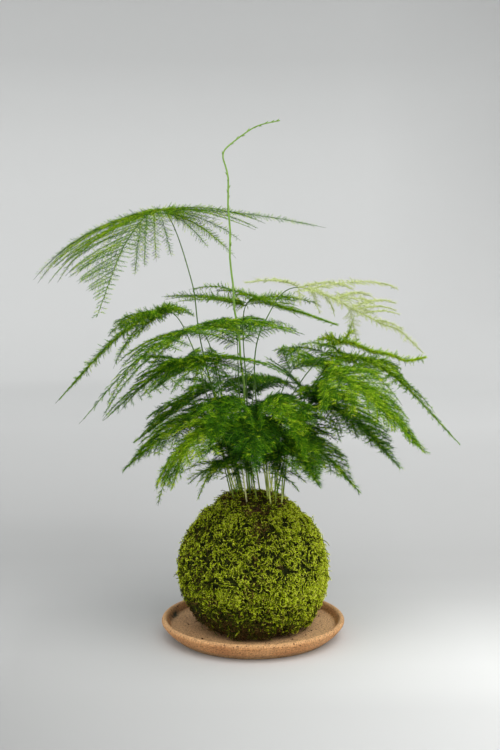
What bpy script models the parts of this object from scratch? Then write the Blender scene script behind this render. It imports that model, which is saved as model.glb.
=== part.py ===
"""Kokedama: an asparagus fern growing out of a moss ball that stands on a clay saucer.

A ball of soil is wrapped in sheet moss, which leaves a round opening on top. The fern's
stems stand in holes in that soil, and each carries one flat, feathery frond. The ball
rests on the floor of an unglazed clay saucer. The origin is the centre of the saucer's
underside, +Z is up and -Y is the front. Frond sizes and places are in millimetres.
"""
import math

import bmesh
import bpy
from mathutils import Vector

MM = 0.001
GAP = 0.3  # clearance left between pieces that touch, in mm

# Saucer
RIM_RADIUS = 75.0
SAUCER_HEIGHT = 15.0
FOOT_RADIUS = 64.0
FLOOR_RADIUS = 68.0
FLOOR_HEIGHT = 9.0
LIP_WIDTH = 4.0
LIP_STEPS = 5
FOOT_ROUNDING = 1.5
SAUCER_SEGMENTS = 56

# Ball: the widest ring of the moss, its contact with the saucer, and the opening on top
BALL_RADIUS = 61.5
BALL_WIDEST = 54.0
BALL_TOP = 117.0
BALL_CONTACT_RADIUS = 46.0
BALL_FULLNESS_TOP = 2.0
BALL_FULLNESS_FOOT = 1.9
MOSS_THICKNESS = 9.0
OPENING_RADIUS = 28.0
BALL_RINGS = 7
BALL_SEGMENTS = 36

# Stems and fronds
STEM_RADIUS = 0.6
SHOOT_RADIUS = 0.9
SOCKET_CLEARANCE = 0.3
SOCKET_DEPTH = 9.0
SOCKET_SIDES = 6
STEM_POINTS = 8
FROND_THICKNESS = 1.6
FROND_ROWS = 7
FROND_COLUMNS = 4
FROND_CROWN = 0.45
FROND_TIP_WIDTH = 2.0

# Each frond: where its stem stands in the soil, the points that the stem rises through, the
# knee where the frond spreads, the middle and the tip of its midrib, and its two side tips.
FRONDS = {
    "high_left": dict(
        foot=(-10, 6), rise=[(-41, 6, 234), (-50, 12, 290)], knee=(-72, 8, 346),
        bend=(-98, -21, 322), tip=(-119, -48, 264), left=(-183, 39, 290), right=(61, 27, 332)),
    "level_top": dict(
        foot=(-3, 10), rise=[(-5, 14, 192)], knee=(-6, 4, 270),
        bend=(27, -8, 268), tip=(63, -59, 258), left=(-76, 32, 276), right=(54, 31, 264)),
    "pale_young": dict(
        foot=(12, -12), rise=[(1, -20, 220), (12, -24, 264)], knee=(35, -10, 285),
        bend=(83, -25, 266), tip=(134, -16, 234), left=(-7, -42, 289), right=(114, 66, 283)),
    "left_upper": dict(
        foot=(-14, 11), rise=[(-37, 16, 192), (-48, 20, 231)], knee=(-70, 24, 265),
        bend=(-108, 10, 246), tip=(-160, 0, 191), left=(-132, 70, 242), right=(-42, -40, 265)),
    "left_mid": dict(
        foot=(-8, 0), rise=[(-25, 0, 194)], knee=(-43, 3, 250),
        bend=(-87, -42, 232), tip=(-134, -47, 181), left=(-119, 20, 209), right=(43, -70, 250)),
    "left_lower": dict(
        foot=(-7, -8), rise=[(-22, -9, 179)], knee=(-32, -38, 230),
        bend=(-72, -38, 220), tip=(-116, -44, 183), left=(-87, -43, 211), right=(29, -65, 219)),
    "low_left_back": dict(
        foot=(-12, 16), rise=[(-26, 22, 166)], knee=(-34, 32, 198),
        bend=(-67, 50, 177), tip=(-102, 60, 150), left=(-47, 100, 186), right=(-84, 10, 176)),
    "low_left": dict(
        foot=(-16, 4), rise=[(-25, 0, 153)], knee=(-37, 0, 186),
        bend=(-71, -11, 167), tip=(-104, -5, 138), left=(-86, 25, 157), right=(-53, -36, 155)),
    "low_left_front": dict(
        foot=(-15, -12), rise=[(-23, -23, 149)], knee=(-35, -39, 179),
        bend=(-52, -58, 163), tip=(-61, -69, 136), left=(-74, -46, 117), right=(-21, -96, 165)),
    "small_left": dict(
        foot=(-17, -5), rise=[], knee=(-25, -20, 146),
        bend=(-35, -35, 139), tip=(-43, -45, 122), left=(-43, -10, 130), right=(-24, -55, 139)),
    "front_left": dict(
        foot=(-5, -18), rise=[(-12, -19, 164)], knee=(-16, -30, 199),
        bend=(-24, -66, 194), tip=(-33, -102, 169), left=(-52, -50, 185), right=(1, -90, 183)),
    "front_center": dict(
        foot=(3, -16), rise=[(-3, -31, 158)], knee=(-2, -47, 190),
        bend=(0, -71, 184), tip=(2, -122, 159), left=(-30, -93, 172), right=(29, -68, 168)),
    "front_right": dict(
        foot=(14, -18), rise=[(9, -20, 164)], knee=(13, -31, 199),
        bend=(26, -60, 194), tip=(38, -95, 162), left=(6, -95, 184), right=(54, -60, 184)),
    "right_high": dict(
        foot=(17, 8), rise=[(30, 10, 168)], knee=(66, 1, 225),
        bend=(111, 4, 215), tip=(163, -23, 162), left=(126, 55, 200), right=(11, -41, 235)),
    "right_bright": dict(
        foot=(18, -4), rise=[(34, -14, 179)], knee=(57, -28, 219),
        bend=(87, -60, 207), tip=(126, -85, 166), left=(94, -20, 219), right=(47, -100, 192)),
    "right_ridge": dict(
        foot=(14, 13), rise=[(26, 20, 183)], knee=(68, 30, 236),
        bend=(101, 25, 231), tip=(140, 15, 227), left=(90, 90, 254), right=(43, -12, 239)),
    "right_mid": dict(
        foot=(24, -1), rise=[(30, -7, 162)], knee=(47, -9, 193),
        bend=(79, -35, 182), tip=(108, -84, 154), left=(98, -8, 175), right=(62, -62, 168)),
    "right_low": dict(
        foot=(23, -10), rise=[(25, -12, 147)], knee=(32, -20, 166),
        bend=(56, -42, 156), tip=(81, -55, 130), left=(70, -8, 154), right=(39, -64, 145)),
    "right_low_front": dict(
        foot=(18, -15), rise=[(18, -24, 145)], knee=(24, -40, 164),
        bend=(37, -59, 157), tip=(48, -101, 143), left=(48, -85, 163), right=(25, -88, 153)),
    "right_back": dict(
        foot=(20, 14), rise=[(23, 30, 165)], knee=(40, 46, 190),
        bend=(67, 75, 189), tip=(102, 105, 173), left=(47, 110, 189), right=(87, 50, 183)),
    "back_high": dict(
        foot=(-4, 17), rise=[(-11, 28, 190)], knee=(-13, 40, 235),
        bend=(-15, 75, 250), tip=(-19, 120, 252), left=(-55, 80, 241), right=(41, 85, 241)),
    "back_center": dict(
        foot=(6, 19), rise=[(-1, 30, 165)], knee=(1, 46, 201),
        bend=(3, 85, 201), tip=(5, 125, 183), left=(-34, 90, 187), right=(42, 90, 187)),
    "back_left": dict(
        foot=(-9, 21), rise=[(-21, 40, 155)], knee=(-41, 62, 210),
        bend=(-65, 95, 207), tip=(-95, 130, 185), left=(-35, 125, 224), right=(-98, 75, 220)),
    "back_right": dict(
        foot=(12, 21), rise=[(13, 34, 156)], knee=(32, 52, 211),
        bend=(54, 80, 215), tip=(83, 110, 200), left=(25, 120, 225), right=(83, 52, 211)),
    "back_low": dict(
        foot=(0, 24), rise=[(-2, 40, 129)], knee=(-4, 62, 160),
        bend=(-2, 95, 155), tip=(-6, 125, 121), left=(-43, 95, 146), right=(38, 95, 141)),
    "back_low_right": dict(
        foot=(17, 19), rise=[(14, 36, 134)], knee=(28, 55, 152),
        bend=(46, 80, 148), tip=(65, 100, 120), left=(34, 105, 144), right=(66, 55, 148)),
}

# The leafless young shoot that rises through the middle and nods at its tip
SHOOT_FOOT = (-3, -3)
SHOOT_ROUTE = [(-8, -10, 211), (-16, -14, 283), (-18, -16, 314), (-20, -16, 369),
               (-23, -18, 388), (-14, -16, 399), (2, -20, 409), (21, -26, 413)]
SHOOT_POINTS = 22

COLORS = {
    "clay": ((0.58, 0.36, 0.19, 1.0), 0.9),
    "soil": ((0.05, 0.03, 0.02, 1.0), 1.0),
    "moss": ((0.20, 0.27, 0.03, 1.0), 0.95),
    "frond": ((0.13, 0.25, 0.03, 1.0), 0.7),
    "stem": ((0.25, 0.32, 0.10, 1.0), 0.6),
}


def clear_scene():
    for old in list(bpy.data.objects):
        bpy.data.objects.remove(old, do_unlink=True)


def new_collection(name):
    group = bpy.data.collections.new(name)
    bpy.context.scene.collection.children.link(group)
    return group


def finish_material(node, kind):
    """Give a piece its own material, in the colour and roughness of its kind."""
    color, roughness = COLORS[kind]
    material = bpy.data.materials.new(node.name)
    material.use_nodes = True
    shader = material.node_tree.nodes["Principled BSDF"]
    shader.inputs["Base Color"].default_value = color
    shader.inputs["Roughness"].default_value = roughness
    shader.inputs["Metallic"].default_value = 0.0
    material.diffuse_color = color
    node.data.materials.append(material)


def add_mesh_object(name, mesh, group):
    node = bpy.data.objects.new(name, mesh)
    group.objects.link(node)
    return node


def turned(name, profile, segments, group):
    """Turn a profile of (radius, height) points round Z. It runs down the outer side."""
    mesh = bpy.data.meshes.new(name)
    points = [(radius * MM, 0.0, height * MM) for radius, height in profile]
    mesh.from_pydata(points, [(i, i + 1) for i in range(len(points) - 1)], [])
    node = add_mesh_object(name, mesh, group)
    screw = node.modifiers.new("turn", "SCREW")
    screw.axis = "Z"
    screw.angle = 2 * math.pi
    screw.steps = segments
    screw.render_steps = segments
    screw.use_merge_vertices = True
    screw.merge_threshold = 0.00005
    return node


def arc(center, radius, start, end, steps):
    """Points on an arc in the profile's plane, from start to end in degrees."""
    points = []
    for i in range(steps + 1):
        angle = math.radians(start + (end - start) * i / steps)
        points.append((center[0] + radius * math.cos(angle), center[1] + radius * math.sin(angle)))
    return points


def make_saucer(group):
    """Thrown clay saucer: flat foot, slanted wall, rounded lip and a flat floor."""
    half_lip = LIP_WIDTH / 2
    lip_center = (RIM_RADIUS - half_lip, SAUCER_HEIGHT - half_lip)
    corner = (FOOT_RADIUS - FOOT_ROUNDING, FOOT_ROUNDING)
    profile = [(0.0, FLOOR_HEIGHT), (FLOOR_RADIUS - 3.0, FLOOR_HEIGHT),
               (FLOOR_RADIUS, FLOOR_HEIGHT + 1.0)]
    profile += arc(lip_center, half_lip, 160, -40, LIP_STEPS)
    profile += arc(corner, FOOT_ROUNDING, -30, -90, 2)
    profile += [(0.0, 0.0)]
    saucer = turned("saucer", profile, SAUCER_SEGMENTS, group)
    finish_material(saucer, "clay")


def ball_outline(inset, foot_height, end_angle):
    """Half outline of the ball, from the top down to its flat foot, moved in by inset.

    Above and below its widest ring the outline is a superellipse, fuller towards the foot,
    because the wet ball slumps onto the saucer.
    """
    points = []
    top = BALL_TOP - BALL_WIDEST - inset
    radius = BALL_RADIUS - inset
    for i in range(BALL_RINGS):
        angle = math.radians(end_angle) * (1 - i / BALL_RINGS)
        across = math.cos(angle) ** (2 / BALL_FULLNESS_TOP)
        points.append((radius * across, BALL_WIDEST + top * math.sin(angle) ** (2 / BALL_FULLNESS_TOP)))
    depth = BALL_WIDEST - foot_height
    contact = BALL_CONTACT_RADIUS - inset
    for i in range(BALL_RINGS):
        drop = i / (BALL_RINGS - 1)
        bulge = (1 - drop ** BALL_FULLNESS_FOOT) ** (1 / BALL_FULLNESS_FOOT)
        points.append((contact + (radius - contact) * bulge, BALL_WIDEST - depth * drop))
    return points


def opening_angle(inset):
    """Angle above the widest ring at which the outline meets the opening's radius."""
    return math.degrees(math.acos(OPENING_RADIUS / (BALL_RADIUS - inset)))


def make_moss(group):
    """Sheet moss round the ball: a shell with a rounded lip at the opening on top."""
    foot = FLOOR_HEIGHT + GAP
    outer = ball_outline(0.0, foot, opening_angle(0.0))
    inner = ball_outline(MOSS_THICKNESS, foot + MOSS_THICKNESS, opening_angle(MOSS_THICKNESS))
    lip = ((outer[0][0] + inner[0][0]) / 2 - 1.5, (outer[0][1] + inner[0][1]) / 2)
    profile = [(0.0, foot + MOSS_THICKNESS)] + inner[::-1] + [lip] + outer + [(0.0, foot)]
    moss = turned("moss_cover", profile, BALL_SEGMENTS, group)
    finish_material(moss, "moss")


def make_soil(group, cutters):
    """Soil ball inside the moss, humped in the opening, with a hole for each stem."""
    inset = MOSS_THICKNESS + GAP
    foot = FLOOR_HEIGHT + inset + GAP
    side = ball_outline(inset, foot, opening_angle(inset))
    hump = [(0.0, soil_height(0.0)), (OPENING_RADIUS * 0.5, soil_height(OPENING_RADIUS * 0.5)),
            (OPENING_RADIUS * 0.8, soil_height(OPENING_RADIUS * 0.8)),
            (OPENING_RADIUS - 2.5, soil_height(OPENING_RADIUS - 2.5)),
            (OPENING_RADIUS - 2.5, side[0][1] + 1.0)]
    profile = hump + side + [(0.0, foot)]
    soil = turned("soil_ball", profile, BALL_SEGMENTS, group)
    holes = make_sockets(cutters)
    cut = soil.modifiers.new("stem_holes", "BOOLEAN")
    cut.operation = "DIFFERENCE"
    cut.solver = "EXACT"
    cut.object = holes
    finish_material(soil, "soil")


def soil_height(radius):
    """Height of the soil's domed top at a distance from its middle."""
    return BALL_TOP - 1.0 - 6.0 * (radius / OPENING_RADIUS) ** 2


def stem_feet():
    feet = [(frond["foot"], STEM_RADIUS) for frond in FRONDS.values()]
    return feet + [(SHOOT_FOOT, SHOOT_RADIUS)]


def make_sockets(cutters):
    """One cutter that holds the upright hole of every stem."""
    bm = bmesh.new()
    for (x, y), radius in stem_feet():
        top = soil_height(math.hypot(x, y)) + 2.0
        length = SOCKET_DEPTH + 2.0
        ring = bmesh.ops.create_cone(
            bm, cap_ends=True, segments=SOCKET_SIDES, depth=length * MM,
            radius1=(radius + SOCKET_CLEARANCE) * MM / math.cos(math.pi / SOCKET_SIDES),
            radius2=(radius + SOCKET_CLEARANCE) * MM / math.cos(math.pi / SOCKET_SIDES))
        bmesh.ops.translate(bm, verts=ring["verts"], vec=Vector((x, y, top - length / 2)) * MM)
    mesh = bpy.data.meshes.new("stem_sockets")
    bm.to_mesh(mesh)
    bm.free()
    holes = add_mesh_object("stem_sockets", mesh, cutters)
    holes.hide_render = True
    holes.display_type = "WIRE"
    return holes


def smooth_route(points, count):
    """A smooth curve through the given points, read off at even steps along its length."""
    route = [Vector(point) for point in points]
    route = [2 * route[0] - route[1]] + route + [2 * route[-1] - route[-2]]
    fine = []
    for i in range(1, len(route) - 2):
        before, start, end, after = route[i - 1:i + 3]
        for step in range(20):
            t = step / 20
            a = 2 * start + (end - before) * t
            b = (2 * before - 5 * start + 4 * end - after) * t ** 2
            c = (3 * start - before - 3 * end + after) * t ** 3
            fine.append((a + b + c) / 2)
    fine.append(route[-2])
    lengths = [0.0]
    for i in range(1, len(fine)):
        lengths.append(lengths[-1] + (fine[i] - fine[i - 1]).length)
    picked = []
    at = 0
    for k in range(count):
        wanted = lengths[-1] * k / (count - 1)
        while at < len(fine) - 2 and lengths[at + 1] < wanted:
            at += 1
        share = (wanted - lengths[at]) / (lengths[at + 1] - lengths[at])
        picked.append(fine[at].lerp(fine[at + 1], share))
    return picked


def soil_point(foot):
    """The point of the soil's top at a stem's foot."""
    x, y = foot
    return Vector((x, y, soil_height(math.hypot(x, y))))


def frond_surface(frond):
    """Points of the frond's middle surface, as rows down the midrib of columns across it.

    The frond is widest at the knee, where it reaches its two side tips, and narrows to its
    tip. Every second row is shorter, which gives the edge its comb of side branches.
    """
    midrib = smooth_route([frond["knee"], frond["bend"], frond["tip"]], FROND_ROWS + 2)
    knee = Vector(frond["knee"])
    rows = []
    for i in range(FROND_ROWS + 1):
        along = i / (FROND_ROWS + 1)
        comb = 0.72 if i % 2 else 1.0
        row = []
        for j in range(FROND_COLUMNS + 1):
            side = frond["left"] if j < FROND_COLUMNS / 2 else frond["right"]
            reach = Vector(side) - knee
            out = abs(2 * j / FROND_COLUMNS - 1)
            scale = (1 - along) ** 0.9 * (comb if out == 1 else 1.0)
            scale = max(scale, FROND_TIP_WIDTH / reach.length)
            crown = FROND_CROWN * out * (1 - out) * reach.length * scale
            row.append(midrib[i] + reach * out * scale + Vector((0, 0, crown)))
        rows.append(row)
    return rows


def make_frond(name, frond, group):
    """One flat feathery frond, as a thin closed blade of its outline."""
    rows = frond_surface(frond)
    bm = bmesh.new()
    bmesh.ops.create_grid(bm, x_segments=FROND_COLUMNS, y_segments=FROND_ROWS, size=0.5)
    for vert in bm.verts:
        column = round((vert.co.x + 0.5) * FROND_COLUMNS)
        row = round((vert.co.y + 0.5) * FROND_ROWS)
        vert.co = rows[row][column] * MM
    mesh = bpy.data.meshes.new(name)
    bm.to_mesh(mesh)
    bm.free()
    node = add_mesh_object(name, mesh, group)
    shell = node.modifiers.new("blade", "SOLIDIFY")
    shell.thickness = FROND_THICKNESS * MM
    shell.offset = 0.0
    finish_material(node, "frond")


def seat_under(frond):
    """The stem's last two points: under the blade's middle, along its first row."""
    rows = frond_surface(frond)
    middle = FROND_COLUMNS // 2
    across = rows[0][middle + 1] - rows[0][middle - 1]
    along = rows[1][middle] - rows[0][middle]
    down = across.cross(along).normalized()
    if down.z > 0:
        down = -down
    drop = down * (FROND_THICKNESS / 2 + STEM_RADIUS + GAP)
    return [rows[0][middle] + drop, rows[0][middle] + along * 0.6 + drop]


def make_tube(name, route, radius, kind, group):
    """A thin round stem along a route, closed at both ends."""
    curve = bpy.data.curves.new(name, "CURVE")
    curve.dimensions = "3D"
    curve.bevel_depth = radius * MM
    curve.bevel_resolution = 1
    curve.use_fill_caps = True
    spline = curve.splines.new("POLY")
    spline.points.add(len(route) - 1)
    for point, place in zip(spline.points, route):
        point.co = (*(place * MM), 1.0)
    node = add_mesh_object(name, curve, group)
    finish_material(node, kind)


def rooted(foot, route):
    """A route that starts upright in the foot's hole in the soil."""
    ground = soil_point(foot)
    bottom = ground - Vector((0, 0, SOCKET_DEPTH - GAP))
    return [bottom, ground + Vector((0, 0, 1.0))] + route


def make_stem(name, frond, group):
    foot = frond["foot"]
    upper = smooth_route([soil_point(foot), *frond["rise"], frond["knee"]], STEM_POINTS)[1:-1]
    make_tube(name, rooted(foot, upper + seat_under(frond)), STEM_RADIUS, "stem", group)


def make_shoot(group):
    route = smooth_route([soil_point(SHOOT_FOOT), *SHOOT_ROUTE], SHOOT_POINTS)[1:]
    make_tube("tall_shoot", rooted(SHOOT_FOOT, route), SHOOT_RADIUS, "stem", group)


def build():
    clear_scene()
    parts = new_collection("kokedama")
    cutters = new_collection("cutters")
    make_saucer(parts)
    make_moss(parts)
    make_soil(parts, cutters)
    for name, frond in FRONDS.items():
        make_stem("stem_" + name, frond, parts)
        make_frond("frond_" + name, frond, parts)
    make_shoot(parts)


build()
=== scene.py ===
import math

import bmesh
import bpy
import numpy as np
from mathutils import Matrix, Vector, noise


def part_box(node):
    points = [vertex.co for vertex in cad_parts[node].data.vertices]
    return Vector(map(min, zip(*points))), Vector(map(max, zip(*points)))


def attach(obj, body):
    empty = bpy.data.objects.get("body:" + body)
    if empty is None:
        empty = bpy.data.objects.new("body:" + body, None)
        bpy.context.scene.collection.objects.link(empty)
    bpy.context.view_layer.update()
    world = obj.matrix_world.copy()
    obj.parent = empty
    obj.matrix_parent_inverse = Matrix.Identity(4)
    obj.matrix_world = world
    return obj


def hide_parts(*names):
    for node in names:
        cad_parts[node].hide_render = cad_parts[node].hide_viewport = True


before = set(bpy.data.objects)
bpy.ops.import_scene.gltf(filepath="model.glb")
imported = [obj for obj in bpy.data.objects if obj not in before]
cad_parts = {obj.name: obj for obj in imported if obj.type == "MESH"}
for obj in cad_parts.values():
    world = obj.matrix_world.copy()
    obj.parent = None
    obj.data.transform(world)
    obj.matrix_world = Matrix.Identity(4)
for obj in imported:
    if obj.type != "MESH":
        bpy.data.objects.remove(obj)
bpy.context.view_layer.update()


# ---------------------------------------------------------------- clay saucer
# The saucer is thrown in sandy, unglazed clay and fired once. Faint throwing rings stay in its
# floor. Its lip has a painted highlight, and its inner corner has painted shade, darkest in a
# painted shadow at the left back.

MM = 0.001


def turned_mesh(name, profile, segments):
    """A closed turned form: (radius, height) points from the axis, outward, and back to it."""
    bm = bmesh.new()
    rings = []
    for radius, height in profile:
        if radius < 1e-6:
            rings.append([bm.verts.new((0, 0, height))])
            continue
        turn = [2 * math.pi * k / segments for k in range(segments)]
        rings.append([bm.verts.new((radius * math.cos(a), radius * math.sin(a), height))
                      for a in turn])
    for upper, lower in zip(rings, rings[1:]):
        for k in range(segments):
            after = (k + 1) % segments
            corners = [upper[k % len(upper)], lower[k % len(lower)],
                       lower[after % len(lower)], upper[after % len(upper)]]
            bm.faces.new(list(dict.fromkeys(corners)))
    bmesh.ops.recalc_face_normals(bm, faces=bm.faces)
    mesh = bpy.data.meshes.new(name)
    bm.to_mesh(mesh)
    bm.free()
    mesh.shade_smooth()
    return mesh


def new_piece(name, mesh, material, node):
    """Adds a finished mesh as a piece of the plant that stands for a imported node."""
    mesh.materials.clear()
    mesh.materials.append(material)
    piece = bpy.data.objects.new(name, mesh)
    bpy.context.scene.collection.objects.link(piece)
    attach(piece, "root")
    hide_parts(node)


def node_group(name, inputs, outputs):
    """An empty shader group with its sockets, and its input and output nodes."""
    tree = bpy.data.node_groups.new(name, "ShaderNodeTree")
    for label, kind, value in inputs:
        socket = tree.interface.new_socket(label, in_out="INPUT", socket_type=kind)
        socket.default_value = value
    for label, kind in outputs:
        tree.interface.new_socket(label, in_out="OUTPUT", socket_type=kind)
    return tree, tree.nodes.new("NodeGroupInput"), tree.nodes.new("NodeGroupOutput")


def new_material(name, roughness, specular):
    """A material with its Principled shader, and its tree to add nodes to."""
    material = bpy.data.materials.new(name)
    material.use_nodes = True
    tree = material.node_tree
    shader = tree.nodes["Principled BSDF"]
    shader.inputs["Roughness"].default_value = roughness
    shader.inputs["Specular IOR Level"].default_value = specular
    return material, tree, shader


def add_ramp(tree, factor, stops):
    """A colour ramp fed by a factor. Stops are (position, (r, g, b))."""
    ramp = tree.nodes.new("ShaderNodeValToRGB")
    while len(ramp.color_ramp.elements) < len(stops):
        ramp.color_ramp.elements.new(0.5)
    for element, (position, color) in zip(ramp.color_ramp.elements, stops):
        element.position = position
        element.color = (*color, 1.0)
    tree.links.new(factor, ramp.inputs["Fac"])
    return ramp.outputs["Color"]


def add_mix(tree, factor, first, second, blend="MIX"):
    """Mixes two colours. Each of the three inputs is a socket or a plain value."""
    mix = tree.nodes.new("ShaderNodeMix")
    mix.data_type = "RGBA"
    mix.blend_type = blend
    for socket, value in ((mix.inputs["Factor"], factor), (mix.inputs[6], first),
                          (mix.inputs[7], second)):
        if isinstance(value, bpy.types.NodeSocket):
            tree.links.new(value, socket)
        elif isinstance(value, tuple):
            socket.default_value = (*value, 1.0)
        else:
            socket.default_value = value
    return mix.outputs[2]


def add_noise(tree, place, scale, detail=3.0, roughness=0.55):
    """Noise over a place socket, as a value from 0 to 1."""
    grain = tree.nodes.new("ShaderNodeTexNoise")
    grain.inputs["Scale"].default_value = scale
    grain.inputs["Detail"].default_value = detail
    grain.inputs["Roughness"].default_value = roughness
    tree.links.new(place, grain.inputs["Vector"])
    return grain.outputs["Fac"]


def add_range(tree, value, low, high, out_low=0.0, out_high=1.0):
    """Maps a value from one range to another, and holds it inside."""
    mapped = tree.nodes.new("ShaderNodeMapRange")
    for label, number in (("From Min", low), ("From Max", high),
                          ("To Min", out_low), ("To Max", out_high)):
        mapped.inputs[label].default_value = number
    tree.links.new(value, mapped.inputs["Value"])
    return mapped.outputs["Result"]


def add_math(tree, operation, first, second):
    """One sum on two values. Each is a socket or a number."""
    step = tree.nodes.new("ShaderNodeMath")
    step.operation = operation
    for socket, value in zip(step.inputs, (first, second)):
        if isinstance(value, bpy.types.NodeSocket):
            tree.links.new(value, socket)
        else:
            socket.default_value = value
    return step.outputs["Value"]


def grain_group():
    """Fine grain over a place: its value, and the normal that it gives a surface."""
    tree, entry, out = node_group(
        "fine_grain",
        [("Place", "NodeSocketVector", (0, 0, 0)), ("Scale", "NodeSocketFloat", 900.0),
         ("Detail", "NodeSocketFloat", 3.0), ("Added Height", "NodeSocketFloat", 0.0),
         ("Strength", "NodeSocketFloat", 0.5), ("Distance", "NodeSocketFloat", 0.001)],
        [("Value", "NodeSocketFloat"), ("Normal", "NodeSocketVector")])
    grain = tree.nodes.new("ShaderNodeTexNoise")
    grain.inputs["Roughness"].default_value = 0.55
    tree.links.new(entry.outputs["Place"], grain.inputs["Vector"])
    tree.links.new(entry.outputs["Scale"], grain.inputs["Scale"])
    tree.links.new(entry.outputs["Detail"], grain.inputs["Detail"])
    bump = tree.nodes.new("ShaderNodeBump")
    tree.links.new(entry.outputs["Strength"], bump.inputs["Strength"])
    tree.links.new(entry.outputs["Distance"], bump.inputs["Distance"])
    height = add_math(tree, "ADD", grain.outputs["Fac"], entry.outputs["Added Height"])
    tree.links.new(height, bump.inputs["Height"])
    tree.links.new(grain.outputs["Fac"], out.inputs["Value"])
    tree.links.new(bump.outputs["Normal"], out.inputs["Normal"])
    return tree


FINE_GRAIN = grain_group()


def add_grain(tree, shader, place, scale, detail, strength, distance, added=None):
    """Gives a surface its fine grain, and returns the grain's value."""
    grain = tree.nodes.new("ShaderNodeGroup")
    grain.node_tree = FINE_GRAIN
    for label, number in (("Scale", scale), ("Detail", detail), ("Strength", strength),
                          ("Distance", distance)):
        grain.inputs[label].default_value = number
    tree.links.new(place, grain.inputs["Place"])
    if added:
        tree.links.new(added, grain.inputs["Added Height"])
    tree.links.new(grain.outputs["Normal"], shader.inputs["Normal"])
    return grain.outputs["Value"]


def saucer_profile(low, high):
    """The thrown section: floor, wiped inner corner, wall, round lip, steep side and foot."""
    rim = (high.x - low.x) / 2
    top = high.z
    half_lip = 2.4 * MM
    floor = 9.0 * MM
    foot = 62.5 * MM
    corner = 66.6 * MM
    bend = 2.0 * MM
    profile = [(0.0, floor)]
    for k in range(1, 29):
        radius = corner * k / 28
        profile.append((radius, floor + 0.10 * MM * math.sin(radius / (1.9 * MM))))
    for k in range(1, 7):
        angle = math.radians(-90 + 78 * k / 6)
        profile.append((corner + bend * math.cos(angle), floor + bend + bend * math.sin(angle)))
    for k in range(14):
        angle = math.radians(168 - 205 * k / 13)
        profile.append((rim - half_lip + half_lip * math.cos(angle),
                        top - half_lip + half_lip * math.sin(angle)))
    side_top = profile[-1]
    side_foot = (foot + 1.3 * MM, 0.8 * MM)
    for k in range(1, 8):
        share = k / 8
        bulge = 1.1 * MM * math.sin(math.pi * share)
        profile.append((side_top[0] + (side_foot[0] - side_top[0]) * share + bulge,
                        side_top[1] + (side_foot[1] - side_top[1]) * share))
    for k in range(4):
        angle = math.radians(-30 - 60 * k / 3)
        profile.append((foot + 1.5 * MM * math.cos(angle), 1.5 * MM + 1.5 * MM * math.sin(angle)))
    profile.append((0.0, 0.0))
    return profile


def clay_material():
    """Sandy clay: warm body, dark grog specks, painted highlight on the lip, painted shade in the
    corner.
    """
    material, tree, shader = new_material("fired_clay", 0.78, 0.35)
    place = tree.nodes.new("ShaderNodeTexCoord").outputs["Object"]
    apart = tree.nodes.new("ShaderNodeSeparateXYZ")
    tree.links.new(place, apart.inputs["Vector"])
    radius = tree.nodes.new("ShaderNodeVectorMath")
    radius.operation = "LENGTH"
    flat = tree.nodes.new("ShaderNodeCombineXYZ")
    tree.links.new(apart.outputs["X"], flat.inputs["X"])
    tree.links.new(apart.outputs["Y"], flat.inputs["Y"])
    tree.links.new(flat.outputs["Vector"], radius.inputs[0])
    from_axis = radius.outputs["Value"]

    cloud = add_noise(tree, place, 28.0, 4.0)
    body = add_ramp(tree, cloud, [(0.32, (0.50, 0.225, 0.085)), (0.52, (0.60, 0.30, 0.120)),
                                  (0.72, (0.68, 0.37, 0.165))])
    floor_share = add_range(tree, from_axis, 0.0690, 0.0660)
    floor_tone = add_ramp(tree, cloud, [(0.3, (0.47, 0.27, 0.125)), (0.7, (0.60, 0.37, 0.185))])
    body = add_mix(tree, floor_share, body, floor_tone)
    # Painted highlight: the top of the lip is painted lighter.
    lip_highlight = add_range(tree, apart.outputs["Z"], 0.0122, 0.0148)
    body = add_mix(tree, add_math(tree, "MULTIPLY", lip_highlight, 0.7), body, (0.62, 0.38, 0.185))

    fine = add_noise(tree, place, 760.0, 3.0, 0.7)
    body = add_mix(tree, 1.0, body, add_ramp(
        tree, fine, [(0.33, (0.46, 0.40, 0.34)), (0.5, (1.0, 1.0, 1.0)),
                     (0.68, (1.34, 1.32, 1.26))]), "MULTIPLY")
    grog = tree.nodes.new("ShaderNodeTexVoronoi")
    grog.inputs["Scale"].default_value = 330.0
    tree.links.new(place, grog.inputs["Vector"])
    speck = add_range(tree, grog.outputs["Distance"], 0.27, 0.17)
    some = add_range(tree, add_noise(tree, place, 190.0, 1.0), 0.52, 0.58)
    body = add_mix(tree, add_math(tree, "MULTIPLY", speck, some), body, (0.15, 0.075, 0.035))

    # The inner corner is painted darker as painted shade, near black in a painted shadow at the left
    # back.
    corner = add_math(tree, "MULTIPLY", add_range(tree, from_axis, 0.0635, 0.0672),
                      add_range(tree, from_axis, 0.0705, 0.0685))
    spot = tree.nodes.new("ShaderNodeVectorMath")
    spot.operation = "DISTANCE"
    spot.inputs[1].default_value = (-0.067, 0.016, 0.010)
    tree.links.new(place, spot.inputs[0])
    near_spot = add_range(tree, spot.outputs["Value"], 0.014, 0.007)
    mottle = add_range(tree, add_noise(tree, place, 190.0, 4.0), 0.38, 0.52)
    painted_shadow = add_math(tree, "MULTIPLY", add_math(tree, "MULTIPLY", corner, near_spot), mottle)
    body = add_mix(tree, painted_shadow, body, (0.045, 0.05, 0.022))
    # A mottled ring of painted shade all round the inner corner.
    corner_shade = add_math(tree, "MULTIPLY", corner, add_range(
        tree, add_noise(tree, place, 60.0, 3.0), 0.42, 0.70, 0.0, 0.5))
    body = add_mix(tree, corner_shade, body, (0.22, 0.12, 0.06))
    tree.links.new(body, shader.inputs["Base Color"])

    pits = add_math(tree, "MULTIPLY", speck, -0.8)
    add_grain(tree, shader, place, 900.0, 3.0, 0.5, 0.6 * MM, pits)
    return material


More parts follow.
